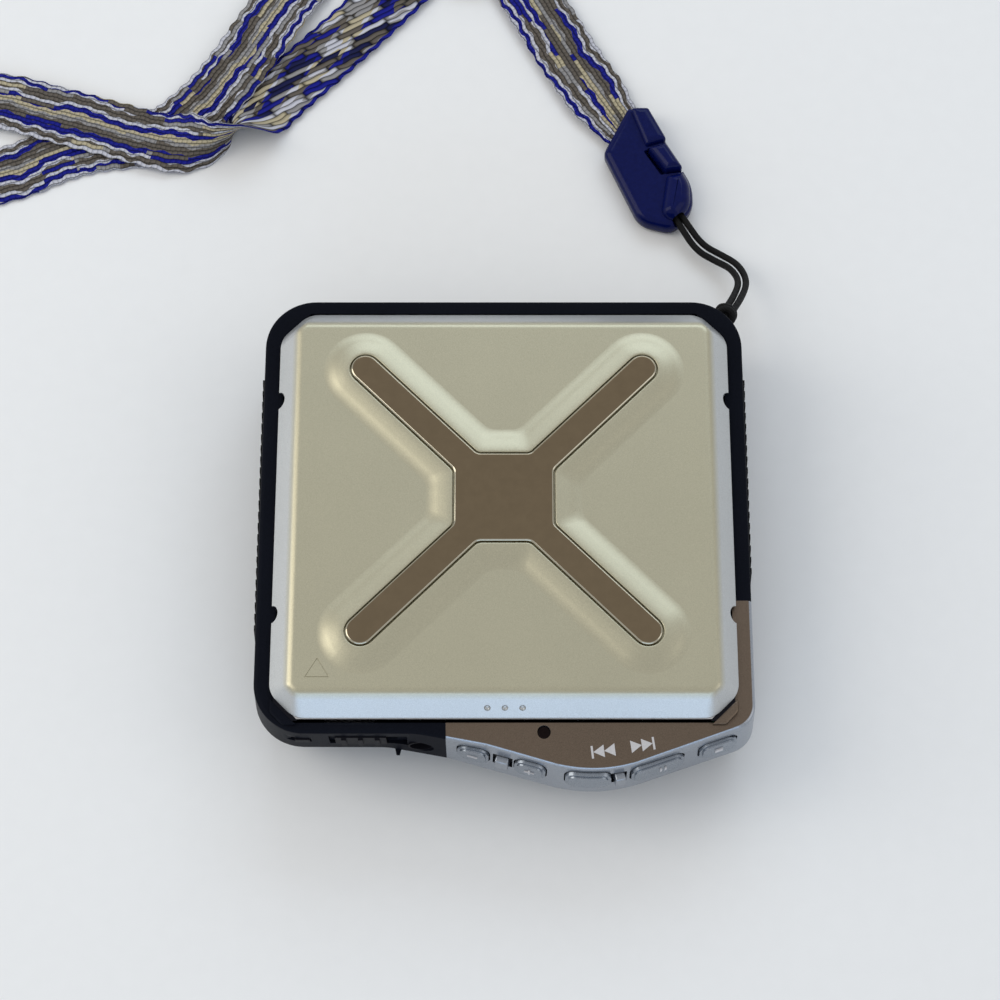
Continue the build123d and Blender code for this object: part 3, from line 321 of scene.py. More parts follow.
class Finish:  # one material, built on its Principled shader
    def __init__(self, name, colour, roughness, metallic=0.0, **surface):
        self.material = bpy.data.materials.new(name)
        self.material.use_nodes = True
        self.tree = self.material.node_tree
        self.shader = self.tree.nodes["Principled BSDF"]
        self.shader.inputs["Base Color"].default_value = (*colour, 1)
        self.shader.inputs["Roughness"].default_value = roughness
        self.shader.inputs["Metallic"].default_value = metallic
        for socket, value in surface.items():
            self.shader.inputs[socket.replace("_", " ")].default_value = value
        self.place = self.node("ShaderNodeTexCoord", output="Object")

    def feed(self, socket, value):
        if isinstance(value, Link):
            self.tree.links.new(value.socket, socket)
        elif isinstance(value, tuple) and len(value) == 3 and socket.type == "RGBA":
            socket.default_value = (*value, 1)
        else:
            socket.default_value = value

    def node(self, kind, settings=None, inputs=None, output=0):
        made = self.tree.nodes.new(kind)
        for key, value in (settings or {}).items():
            if key == "stops":
                while len(made.color_ramp.elements) < len(value):
                    made.color_ramp.elements.new(0.5)
                for stop, (at, colour) in zip(made.color_ramp.elements, value):
                    stop.position = at
                    stop.color = (*colour, 1)
            elif key == "steps":
                made.color_ramp.interpolation = value
            else:
                setattr(made, key, value)
        for key, value in (inputs or {}).items():
            self.feed(made.inputs[key], value)
        return Link(self, made.outputs[output])

    def noise(self, scale, detail=2.0, place=None, roughness=0.5):
        return self.node("ShaderNodeTexNoise", {}, {
            "Vector": place or self.place, "Scale": scale, "Detail": detail, "Roughness": roughness
        })

    def ramp(self, value, stops, steps="LINEAR"):
        return self.node("ShaderNodeValToRGB", {"steps": steps, "stops": stops}, {0: value})

    def mix(self, share, first, second):
        return self.node("ShaderNodeMix", {"data_type": "RGBA"}, {0: share, 6: first, 7: second}, 2)

    def span(self, value, low, high, fromLow=0.0, fromHigh=1.0):
        return self.node("ShaderNodeMapRange", {}, {
            0: value, 1: fromLow, 2: fromHigh, 3: low, 4: high
        })

    def bump(self, height, strength, distance):
        made = self.node("ShaderNodeBump", {}, {
            "Height": height, "Strength": strength, "Distance": distance
        })
        self.feed(self.shader.inputs["Normal"], made)

    def set(self, **sockets):
        for socket, value in sockets.items():
            self.feed(self.shader.inputs[socket.replace("_", " ")], value)


def shade(colour, factor):
    return tuple(min(c * factor, 1) for c in colour)


def grained(name, colour, roughness, metallic=0.0, grain=4000, depth=0.00002, strength=0.3,
            vary=0.08, wander=0.04, **surface):
    # moulded, painted or blasted: fine grain in colour, gloss and relief, and a slow drift
    finish = Finish(name, colour, roughness, metallic, **surface)
    fine = finish.noise(grain, 3.0)
    slow = finish.noise(45, 2.0)
    tone = fine * 0.7 + slow * 0.3
    finish.set(
        Base_Color=finish.mix(
            finish.span(tone, 0, 1, 0.3, 0.7), shade(colour, 1 - vary), shade(colour, 1 + vary)),
        Roughness=finish.span(fine, roughness - wander, roughness + wander, 0.3, 0.7),
    )
    finish.bump(fine, strength, depth)
    return finish


def brushed(name, colour, roughness, stretch=(1, 40, 1), scale=900):
    # sheet or turned metal with fine lines along one way
    finish = Finish(name, colour, roughness, 1.0)
    lines = finish.node("ShaderNodeMapping", {}, {"Vector": finish.place, "Scale": stretch})
    fine = finish.noise(scale, 3.0, lines)
    slow = finish.noise(120, 2.0)
    finish.set(
        Base_Color=finish.mix(finish.span(fine * 0.6 + slow * 0.4, 0, 1, 0.3, 0.7),
                              shade(colour, 0.85), shade(colour, 1.12)),
        Roughness=finish.span(fine, roughness - 0.07, roughness + 0.1, 0.3, 0.7),
    )
    finish.bump(fine, 0.12, 0.00001)
    return finish


# finishes

finishes = {
    "black_case": grained("caseBlack", (0.006, 0.007, 0.011), 0.36, grain=5200, strength=0.3,
                          vary=0.25, IOR=1.06),
    "door_black": grained("doorBlack", (0.007, 0.008, 0.011), 0.44, grain=5200, strength=0.3,
                          vary=0.2, IOR=1.2),
    "grip_black": grained("gripRubber", (0.008, 0.008, 0.009), 0.62, grain=3500, strength=0.4,
                          vary=0.2, wander=0.06, IOR=1.2),
    "silver_key": grained("keyPaint", (0.26, 0.29, 0.335), 0.28, 0.85, grain=7000, strength=0.2,
                          vary=0.12),
    "inlay_bronze": grained("inlayMirror", (0.215, 0.165, 0.105), 0.10, 1.0, grain=700,
                            strength=0.03, vary=0.05, wander=0.03),
    "inner_black": grained("innerBlack", (0.008, 0.008, 0.011), 0.45, grain=4200, strength=0.3,
                           vary=0.2, IOR=1.12),
    "lamp": grained("lampLens", (0.006, 0.003, 0.003), 0.12, grain=2500, strength=0.05, vary=0.3,
                    wander=0.03, IOR=1.15),
    "steel": brushed("sheetSteel", (0.56, 0.56, 0.57), 0.30),
    "pin_steel": brushed("pinSteel", (0.60, 0.60, 0.61), 0.22),
    "screw_steel": brushed("screwSteel", (0.10, 0.10, 0.11), 0.34),
    "board_green": grained("boardMask", (0.012, 0.11, 0.05), 0.30, grain=1500, strength=0.15,
                           vary=0.2),
    "chip_black": grained("chipMould", (0.015, 0.015, 0.017), 0.5, grain=3000, vary=0.2),
    "cell_wrap": grained("cellSleeve", (0.06, 0.07, 0.09), 0.28, 0.5, grain=900, strength=0.1,
                         vary=0.1),
    "contact_spring": brushed("contactNickel", (0.72, 0.71, 0.67), 0.2),
    "motor_can": brushed("motorCan", (0.48, 0.49, 0.51), 0.35),
    "turntable_grey": grained("turntableMould", (0.05, 0.05, 0.055), 0.35, grain=2500, vary=0.15),
    "sled_grey": grained("sledCasting", (0.10, 0.10, 0.11), 0.5, grain=2200, vary=0.2),
    "lens_glass": grained("lensCoat", (0.10, 0.09, 0.30), 0.06, 0.3, grain=900, strength=0.02,
                          vary=0.2, wander=0.02),
    "gear_white": grained("gearMould", (0.68, 0.66, 0.60), 0.42, grain=2500, vary=0.06),
    "brass_screw": brushed("screwBrass", (0.60, 0.45, 0.20), 0.28),
    "damper_rubber": grained("damperRubber", (0.02, 0.02, 0.02), 0.7, grain=2500, vary=0.2),
    "keeper_black": grained("keeperMould", (0.012, 0.012, 0.015), 0.4, grain=4000, vary=0.2),
    "clip_navy": grained("clipMould", (0.002, 0.005, 0.062), 0.15, grain=1600, strength=0.04,
                         vary=0.15, wander=0.04, IOR=1.21),
}


def flaked(name, colour, roughness, metallic, sparkle, bevelReflectionColour=None, reflectionLow=0.0, reflectionHigh=0.0):
    # paint with metal flakes in it, and a paler silver tone below a height, which on the lid is a
    # painted reflection on its bevels
    finish = Finish(name, colour, roughness, metallic)
    fine = finish.noise(5600, 3.0)
    flakes = finish.noise(9000, 1.0)
    slow = finish.noise(60, 2.0)
    tone = colour
    # below the given height the colour turns to the paler tone: painted reflection
    if bevelReflectionColour:
        axes = finish.node("ShaderNodeSeparateXYZ", {}, {0: finish.place})
        high = Link(finish, axes.socket.node.outputs[2])
        tone = finish.mix(finish.span(high, 0, 1, reflectionLow * mm, reflectionHigh * mm), bevelReflectionColour, colour)
    fleck = finish.span(flakes * 0.65 + fine * 0.25 + slow * 0.10, 0, 1, 0.34, 0.66)
    grey = finish.mix(fleck, (1 - sparkle,) * 3, (1.0, 1.0, 1.0))
    finish.set(
        Base_Color=finish.node("ShaderNodeMix", {"data_type": "RGBA", "blend_type": "MULTIPLY"},
                               {0: 1.0, 6: tone, 7: grey}, 2),
        Roughness=finish.span(fine, roughness - 0.04, roughness + 0.05, 0.3, 0.7),
    )
    finish.bump(fine, 0.3, 0.00002)
    return finish


# the lid's silver below 24 to 25.05 mm is a painted reflection: the bevels look paler than the flat top
# because of how they catch the light
finishes["lid_champagne"] = flaked(
    "lidAlloy", (0.54, 0.51, 0.375), 0.36, 0.80, 0.24, (0.60, 0.62, 0.63), 24.0, 25.05)
finishes["bronze_panel"] = flaked("panelPaint", (0.185, 0.14, 0.105), 0.34, 0.85, 0.34)
# the panel's paler silver: a painted reflection on its front faces and the key webs, and a painted
# highlight along its rounded rim
panelReflectionSilver = flaked("panelReflectionSilver", (0.37, 0.40, 0.45), 0.30, 0.90, 0.22)
# a paler polished tone for the inlay's rim: a painted highlight along its edge
inlayRimHighlight = grained("inlayEdgeHighlight", (0.50, 0.47, 0.38), 0.12, 1.0, grain=700, strength=0.03,
                   vary=0.05, wander=0.03)
printGrey = grained("panelPrint", (0.50, 0.49, 0.50), 0.5, grain=4000, vary=0.08)


def cordFinish():
    finish = Finish("cordBraid", (0.005, 0.005, 0.006), 0.6, IOR=1.2)
    fine = finish.noise(5200, 2.0)
    weave = (finish.node("ShaderNodeTexWave", {"bands_direction": "DIAGONAL"}, {
        "Vector": finish.place, "Scale": 900.0, "Distortion": 1.5, "Detail": 1.0
    }, 1))
    finish.set(
        Base_Color=finish.mix(fine, (0.002, 0.002, 0.002), (0.012, 0.012, 0.013)),
        Roughness=finish.span(fine, 0.5, 0.72, 0.3, 0.7),
    )
    finish.bump(weave * 0.6 + fine * 0.4, 0.5, 0.0001)
    return finish


finishes["cord_black"] = cordFinish()

yarnTones = {
    "navy": (0.006, 0.008, 0.055),
    "blue": (0.006, 0.009, 0.22),
    "white": (0.52, 0.53, 0.60),
    "grey": (0.27, 0.265, 0.27),
    "taupe": (0.115, 0.10, 0.085),
    "cream": (0.44, 0.39, 0.27),
}


def bandFinish(name, floats):
    # floats picks the back of the weave, with long slanting yarns, over the ribbed face
    tone = yarnTones
    finish = Finish(name, tone["grey"], 0.8, 0.0, IOR=1.25)
    sheet = finish.node("ShaderNodeUVMap", {"uv_map": "weave"})
    axes = finish.node("ShaderNodeSeparateXYZ", {}, {0: sheet}, 0)
    across = Link(finish, axes.socket.node.outputs[0])
    along = Link(finish, axes.socket.node.outputs[1])

    def cells(x, y, seed):
        spot = finish.node("ShaderNodeCombineXYZ", {}, {0: x, 1: y, 2: seed})
        return finish.node("ShaderNodeTexWhiteNoise", {"noise_dimensions": "3D"}, {"Vector": spot})

    def drift(scaleX, scaleY, seed, detail=1.0):
        spot = finish.node("ShaderNodeCombineXYZ", {}, {0: across * scaleX, 1: along * scaleY, 2: seed})
        return finish.noise(1.0, detail, spot)

    if floats:
        yarnWide, yarnLong, slant = 0.085, 6.8, 0.026
        skewed = across + along * slant
        column = (skewed / yarnWide).floor()
        stagger = cells(column, 3.0, 7.0)
        reach = along / yarnLong + stagger
        row = reach.floor()
        pick1 = cells(column, row, 1.0)
        patch = drift(3.0, 0.06, 2.0)
        picker = pick1 * 0.62 + finish.span(patch, 0, 0.38, 0.35, 0.65)
        colour = finish.ramp(picker, [
            (0.0, tone["navy"]), (0.15, tone["blue"]), (0.30, tone["taupe"]), (0.50, tone["grey"]),
            (0.62, tone["white"]), (0.74, tone["cream"]), (0.90, tone["navy"]),
        ], "CONSTANT")
        edge = ((across - 0.5).size() > 0.44)
        colour = finish.mix(edge, colour, tone["blue"])
        inYarn = ((skewed / yarnWide) % 1.0 - 0.5).size() * 2.0
        inRow = ((reach % 1.0) - 0.5).size() * 2.0
        crown = (1.0 - inYarn * inYarn) * (1.0 - inRow * inRow * inRow * inRow)
        shadow = finish.span(crown, 0.10, 1.15, 0.0, 0.6)
        relief = crown
    else:
        zig = ((along / 3.4) % 1.0 - 0.5).size()
        wavy = across + (zig - 0.25) * 0.07 + (drift(0.6, 0.12, 5.0) - 0.5) * 0.30
        stripes = finish.ramp(wavy, [
            (0.0, tone["white"]), (0.05, tone["taupe"]), (0.13, tone["white"]),
            (0.18, tone["blue"]), (0.28, tone["taupe"]), (0.40, tone["grey"]),
            (0.47, tone["cream"]), (0.56, tone["blue"]), (0.66, tone["white"]),
            (0.72, tone["taupe"]), (0.84, tone["white"]), (0.90, tone["blue"]),
            (0.97, tone["white"]),
        ], "CONSTANT")
        column = (across / 0.07).floor()
        broken = cells(column, ((along + cells(column, 1.0, 4.0) * 9.0) / 7.5).floor(), 9.0)
        swap = finish.ramp(cells(column, (along / 9.0).floor(), 12.0), [
            (0.0, tone["taupe"]), (0.35, tone["grey"]), (0.6, tone["blue"]), (0.8, tone["cream"]),
        ], "CONSTANT")
        colour = finish.mix(broken > 0.74, stripes, swap)
        bead = ((along / 0.95 + column * 0.5) % 1.0 - 0.5).size() * 2.0
        rib = ((across / 0.07) % 1.0 - 0.5).size() * 2.0
        crown = (1.0 - rib * rib) * (1.0 - bead * bead * 0.7)
        shadow = finish.span(crown, 0.16, 1.15, 0.0, 0.6)
        relief = crown
    dark = finish.mix(shadow, (0.0, 0.0, 0.0), (1.0, 1.0, 1.0))
    shaded = finish.node("ShaderNodeMix", {"data_type": "RGBA", "blend_type": "MULTIPLY"},
                         {0: 1.0, 6: colour, 7: dark}, 2)
    finish.set(Base_Color=shaded, Roughness=finish.span(relief, 0.9, 0.68))
    finish.bump(relief, 0.8, 0.0004)
    return finish


wovenFace = bandFinish("bandFace", False)
wovenBack = bandFinish("bandBack", True)


# strap: the loop cord first, then the band

loopCord = {
    "radius": 0.6 * mm,
    "length": 0.083,
    "route": [
        (30.07, 68.89, 2.80), (31.75, 65.97, 2.75), (34.62, 61.05, 2.10), (38.40, 58.65, 2.20),
        (40.69, 56.52, 3.80), (41.88, 52.42, 6.80), (40.28, 47.32, 10.90), (38.05, 42.45, 15.20),
        (35.62, 38.42, 15.30), (38.20, 37.00, 15.30), (39.15, 41.90, 15.20), (41.52, 46.88, 10.90),
        (43.32, 52.38, 6.80), (42.11, 57.28, 3.80), (39.40, 59.95, 2.20), (35.78, 62.15, 2.10),
        (32.85, 66.63, 2.75), (31.13, 69.51, 2.80),
    ],
}
band = {
    "width": 11.5 * mm,
    "endWidth": 7.8 * mm,
    "taper": 9 * mm,
    "thick": 0.8 * mm,
    "columns": 14,
    "scallop": 0.03,
    "scallopPitch": 3.4 * mm,
    "route": [
        (22.6, 85.4, 1.35), (16.9, 93.4, 1.35), (7.0, 111.2, 1.35), (-0.5, 125.3, 1.35),
        (-12.6, 125.3, 1.35), (-21.6, 114.6, 1.0), (-33.4, 102.2, 0.75), (-42.0, 93.6, 0.75),
        (-47.6, 86.2, 0.85), (-52.5, 82.0, 1.0), (-59.5, 82.8, 1.35), (-69.0, 85.6, 1.35),
        (-82.0, 89.4, 1.35), (-95.0, 93.4, 1.35), (-109.5, 92.0, 0.9), (-110.5, 75.5, 0.45),
        (-93.0, 76.0, 0.45), (-78.0, 83.8, 0.45), (-63.5, 84.8, 0.45), (-57.4, 89.6, 0.8),
        (-51.6, 95.7, 1.9), (-46.4, 104.3, 2.1), (-40.6, 114.8, 1.9), (-34.0, 123.4, 0.8),
        (-20.0, 126.6, 0.45), (-3.5, 125.0, 0.45),
    ],
    "flipAt": (-50.2, 83.9),
    "flipBefore": 9 * mm,
    "flipAfter": 15 * mm,
    "flipPinch": 0.30,
}


def routeCurve(name, points, radius):
    curve = bpy.data.curves.new(name, "CURVE")
    curve.dimensions = "3D"
    spline = curve.splines.new("NURBS")
    spline.points.add(len(points) - 1)
    for point, place in zip(spline.points, points):
        point.co = (place[0] * mm, place[1] * mm, place[2] * mm, 1)
    spline.order_u = 3
    spline.use_endpoint_u = True
    curve.resolution_u = 8
    curve.bevel_depth = radius
    curve.bevel_resolution = 4
    curve.use_fill_caps = True
    piece = bpy.data.objects.new(name, curve)
    scene.collection.objects.link(piece)
    return piece


def routePoints(points):
    # the spline's own line, read back from a curve with no bevel
    piece = routeCurve("bandLine", points, 0)
    piece.data.resolution_u = 24
    bpy.context.view_layer.update()
    line = bpy.data.meshes.new_from_object(piece)
    places = [v.co.copy() for v in line.vertices]
    bpy.data.objects.remove(piece)
    bpy.data.meshes.remove(line)
    return places


def ribbon(name, points, taperLength, flipAt=None):
    # a band with a crowned section that follows the route, and turns over where it is told
    line = routePoints(points)
    reach = [0.0]
    for a, b in zip(line, line[1:]):
        reach.append(reach[-1] + (b - a).length)
    middle = None
    if flipAt:
        target = Vector((flipAt[0] * mm, flipAt[1] * mm, line[0].z))
        middle = reach[min(range(len(line)), key=lambda i: (line[i] - target).length)]
    columns = band["columns"]
    rings = []
    path = []
    for i, at in enumerate(line):
        ahead = (line[min(i + 1, len(line) - 1)] - line[max(i - 1, 0)]).normalized()
        side = Vector((-ahead.y, ahead.x, 0)).normalized()
        up = Vector((0, 0, 1))
        turn = 0.0
        if middle is not None:
            past = reach[i] - middle
            share = past / band["flipAfter" if past > 0 else "flipBefore"]
            turn = math.pi / 2 * (1 + math.sin(math.pi / 2 * min(max(share, -1), 1)))
        share = min(reach[i] / taperLength, 1) if taperLength else 1
        width = band["endWidth"] + (band["width"] - band["endWidth"]) * share
        width *= 1 - band["flipPinch"] * math.sin(turn) ** 2
        across = side * math.cos(turn) + up * math.sin(turn)
        face = up * math.cos(turn) - side * math.sin(turn)
        lift = abs(math.sin(turn)) * (width / 2 - at.z) * 0.98
        at = at + up * lift
        path.append(at)
        ring = []
        scallop = 1 + band["scallop"] * math.sin(reach[i] / band["scallopPitch"] * math.pi * 2)
        for j in range(columns + 1):
            u = j / columns
            off = (u - 0.5) * width * scallop
            crown = (1 - (2 * u - 1) ** 6) * band["thick"] / 2
            ring.append((at + across * off + face * crown, u))
        for j in range(columns - 1, 0, -1):
            u = j / columns
            off = (u - 0.5) * width * scallop
            crown = (1 - (2 * u - 1) ** 6) * band["thick"] / 2
            ring.append((at + across * off - face * crown, u))
        rings.append(ring)
    count = len(rings[0])
    points3 = [p for ring in rings for p, _ in ring]
    faces = []
    for i in range(len(rings) - 1):
        for j in range(count):
            k = (j + 1) % count
            faces.append((i * count + j, i * count + k, (i + 1) * count + k, (i + 1) * count + j))
    faces.append(tuple(range(count - 1, -1, -1)))
    last = (len(rings) - 1) * count
    faces.append(tuple(last + j for j in range(count)))
    piece = meshPiece(name, points3, faces)
    layer = piece.data.uv_layers.new(name="weave")
    for face in piece.data.polygons:
        for corner in face.loop_indices:
            vertex = piece.data.loops[corner].vertex_index
            layer.data[corner].uv = (rings[vertex // count][vertex % count][1],
                                     reach[vertex // count] / mm)
    return piece, path


def sideFinish(piece, test):
    # the face finish on one side of the band and the back finish on the other
    piece.data.materials.clear()
    piece.data.materials.append(wovenFace.material)
    piece.data.materials.append(wovenBack.material)
    count = 2 * band["columns"]
    for face in piece.data.polygons:
        onTop = face.index % count < band["columns"]
        face.material_index = 0 if test(face.index // count, onTop) else 1


def addStrap():
    loop = routeCurve("strapLoop", loopCord["route"], loopCord["radius"])
    loop.data.materials.append(finishes["cord_black"].material)
    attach(loop, "case")
    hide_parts("loop_cord")
    woven, path = ribbon("bandWoven", band["route"], band["taper"], band["flipAt"])
    keeperAt = [i for i, place in enumerate(path) if place.x < -6 * mm][0]
    sideFinish(woven, lambda ring, top: top if ring < keeperAt else not top)
    smooth(woven, 50)
    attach(woven, "case")
    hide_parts("strap_band")
    length = sum((b - a).length for a, b in zip(path, path[1:]))
    print("band length", round(length, 4))
    return loop, woven, path, length


addCamera()
addLamps()
addWorld()
loop, woven, bandPath, bandLength = addStrap()
print("strap done")

clipShape = {
    "body": [
        (24.5, 66.4, 4.6), (30.8, 64.7, 3.0), (34.4, 69.4, 4.6), (34.3, 73.9, 8.0),
        (29.9, 82.6, 4.0), (26.5, 89.8, 0.9), (22.9, 90.0, 1.2), (18.3, 80.6, 1.6),
    ],
    "bodyProfile": [
        (0.9, 0.05), (0.35, 0.25), (0.05, 0.8), (0, 1.4), (0, 2.3), (0.08, 2.75), (0.32, 3.15),
        (0.7, 3.45), (1.2, 3.6), (1.6, 3.62),
    ],
    "upper": [(26.0, 81.4, 0.5), (29.9, 82.7, 0.6), (26.6, 89.4, 0.7), (23.2, 89.4, 0.7)],
    "upperProfile": [(0, 2.0), (0, 3.7), (0.12, 4.2), (0.42, 4.52), (0.9, 4.68), (1.3, 4.7)],
    "lower": [
        (28.3, 67.4, 2.2), (31.1, 65.6, 1.9), (33.9, 69.4, 4.4), (33.9, 73.6, 5.5),
        (32.7, 76.05, 0.5), (29.5, 75.3, 0.6),
    ],
    "lowerProfile": [
        (0, 2.0), (0, 3.2), (0.12, 3.8), (0.45, 4.45), (0.95, 4.95), (1.5, 5.27), (2.0, 5.4),
    ],
    "latch": [(29.5, 76.1, 0.35), (32.75, 76.6, 0.5), (29.7, 81.9, 0.5), (26.3, 80.8, 0.35)],
    "latchProfile": [
        (0, 2.2), (0, 3.9), (0.1, 4.4), (0.36, 4.88), (0.75, 5.18), (1.15, 5.3), (1.3, 5.32),
    ],
    "latchRoom": 0.3,
    "slit": [(28.6, 75.6, 0.3), (29.6, 75.9, 0.3), (26.4, 80.9, 0.3), (25.5, 80.6, 0.3)],
}


def addClip():
    body = moulded("clipBody", clipShape["body"], clipShape["bodyProfile"])
    for part in ("upper", "lower"):
        ridge = moulded("clipRidge", clipShape[part], clipShape[part + "Profile"])
        modify(body, "BOOLEAN", operation="UNION", solver="EXACT", object=ridge)
        bpy.data.objects.remove(ridge)
    room = clipShape["latchRoom"]
    cutWith(body, moulded("latchRoom", clipShape["latch"], [(-room, 1.45), (-room, 8.0)]))
    cutWith(body, moulded("latchSlit", clipShape["slit"], [(0, 2.2), (0, 8.0)]))
    deselectAll()
    bpy.ops.mesh.primitive_cylinder_add(
        vertices=32, radius=1.35 * mm, depth=5 * mm, location=(31.9 * mm, 66.4 * mm, 3.2 * mm),
        rotation=(math.radians(90), 0, math.radians(30)))
    cutWith(body, bpy.context.object)
    smooth(body, 35, 3.0)
    settle(body, "case", finishes["clip_navy"])
    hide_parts("clip_socket")
    latch = moulded("clipLatch", clipShape["latch"], clipShape["latchProfile"])
    smooth(latch, 50, 3.0)
    settle(latch, "release", finishes["clip_navy"])
    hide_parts("clip_release")
    return body, latch


def addKnot():
    # turns round both strands, drawn tight over a core
    middle = Vector((38.45, 42.0, 15.0)) * mm
    along = (Vector((40.9, 47.1, 10.9)) - Vector((38.6, 42.2, 15.2))).normalized()
    turns = [
        # along the strands, sideways, tilt, big and small radius
        (-0.85, -0.15, 14, 1.22, 0.66), (0.5, 0.2, -16, 1.26, 0.66), (-0.1, 0.0, 48, 1.42, 0.58),
    ]
    spin = along.to_track_quat("Z", "Y").to_matrix().to_4x4()
    parts = []
    for shift, aside, tilt, big, small in turns:
        deselectAll()
        bpy.ops.mesh.primitive_torus_add(
            major_segments=36, minor_segments=16, major_radius=big * mm, minor_radius=small * mm)
        turn = bpy.context.object
        turn.data.transform(
            Matrix.Translation(middle + along * shift * mm) @ spin
            @ Matrix.Translation((aside * mm, 0, 0)) @ Matrix.Rotation(math.radians(tilt), 4, "X"))
        parts.append(turn)
    deselectAll()
    bpy.ops.mesh.primitive_uv_sphere_add(segments=24, ring_count=14, radius=1.15 * mm)
    core = bpy.context.object
    core.data.transform(Matrix.Translation(middle))
    parts.append(core)
    pick(parts[0])
    for part in parts:
        part.select_set(True)
    bpy.ops.object.join()
    piece = bpy.context.object
    piece.name = "loopKnot"
    smooth(piece, 80)
    settle(piece, "case", finishes["cord_black"])
    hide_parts("loop_knot")
    return piece


clip, latch = addClip()
knot = addKnot()
keeper = softCopy("bandKeeper", "strap_keeper", 0.25 * mm, 3)
settle(keeper, "case", finishes["keeper_black"])
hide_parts("strap_keeper")


# case, keys and lid

shells = [
    # piece, node, edge radius, segments, body, finish
    ("caseHull", "lower_case", 0.15, 2, "case", "black_case"),
    ("caseFrame", "upper_frame", 0.12, 2, "case", "black_case"),
    ("volumeDownKey", "volume_down_button", 0.25, 3, "volume_down", "silver_key"),
    ("volumeUpKey", "volume_up_button", 0.25, 3, "volume_up", "silver_key"),
    ("previousKey", "previous_button", 0.25, 3, "previous", "silver_key"),
    ("playKey", "play_button", 0.25, 3, "play", "silver_key"),
    ("stopKey", "stop_button", 0.25, 3, "stop", "silver_key"),
    ("cellDoor", "battery_door", 0.12, 2, "door", "door_black"),
    ("openerKey", "open_slider", 0.15, 2, "opener", "inner_black"),
    ("holdKey", "hold_switch", 0.12, 2, "hold", "inner_black"),
]
for name, node, edge, segments, body, finish in shells:
    piece = softCopy(name, node, edge * mm, segments)
    settle(piece, body, finishes[finish])
    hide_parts(node)
print("shells done")

lid = {
    "halfWidth": 37.75, "front": -32.85, "rear": 38.6, "low": 21.5, "top": 25.2,
    "rearCut": 4.6, "frontCut": 4.1, "topCut": 1.0, "bevel": 3.35, "cornerLow": 4.0, "cornerTop": 1.4,
    "ridge": 1.7, "ridgeSteps": 7, "skin": 0.7,
    "notchAt": (22.6, -15.4), "notch": 1.15, "notchLength": 1.3,
    "dimplePitch": 2.82, "dimple": 0.55,
    "arrow": [(-29.9, -23.9), (-31.9, -27.2), (-27.9, -27.2)], "arrowLine": 0.13,
}
cross = {
    "centre": 3.45, "reach": 23.1, "half": 2.4, "side": 8.2, "end": 7.75, "waist": 1.6,
    "foot": 5.0, "rampTop": 0.45, "rise": 0.9, "gap": 0.2,
    "inlayTop": 26.4, "inlayLow": 25.3, "polish": 0.42,
}


def lidRing(inset, z):
    share = min(inset / lid["bevel"], 1)
    cuts = []
    for low in (lid["frontCut"], lid["rearCut"]):
        cut = low + (lid["topCut"] - low) * share - max(inset - lid["bevel"], 0) * 0.4
        cuts.append(max(cut, 0.6))
    front, rear = cuts
    radius = lid["cornerLow"] + (lid["cornerTop"] - lid["cornerLow"]) * share
    x = lid["halfWidth"] - inset
    y0 = lid["front"] + inset
    y1 = lid["rear"] - inset
    radius = min(radius, front * 1.4)
    corners = [(x, y1 - rear), (x - rear, y1), (rear - x, y1), (-x, y1 - rear),
               (-x, y0 + front), (front - x, y0), (x - front, y0), (x, y0 + front)]
    return outline([(*c, radius) for c in corners], z)


def crossRing(grow, z):
    half = cross["half"] + grow
    tip = cross["reach"] * math.sqrt(2) + half
    right = cross["side"] + grow
    top = cross["end"] + grow
    lean = half * math.sqrt(2)
    near = ((tip - half) / math.sqrt(2) + half * math.sqrt(2), (tip - half) / math.sqrt(2))
    far = (near[1], near[0])
    waist = cross["waist"] + max(grow, 0) * 0.35
    quarter = [(right, right - lean, waist), (*near, half * 0.999), (*far, half * 0.999),
               (top - lean, top, waist)]
    corners = list(quarter)
    corners += [(-x, y, r) for x, y, r in reversed(quarter)]
    corners += [(-x, -y, r) for x, y, r in quarter]
    corners += [(x, -y, r) for x, y, r in reversed(quarter)]
    return outline([(x, y + cross["centre"], r) for x, y, r in corners], z, 8)


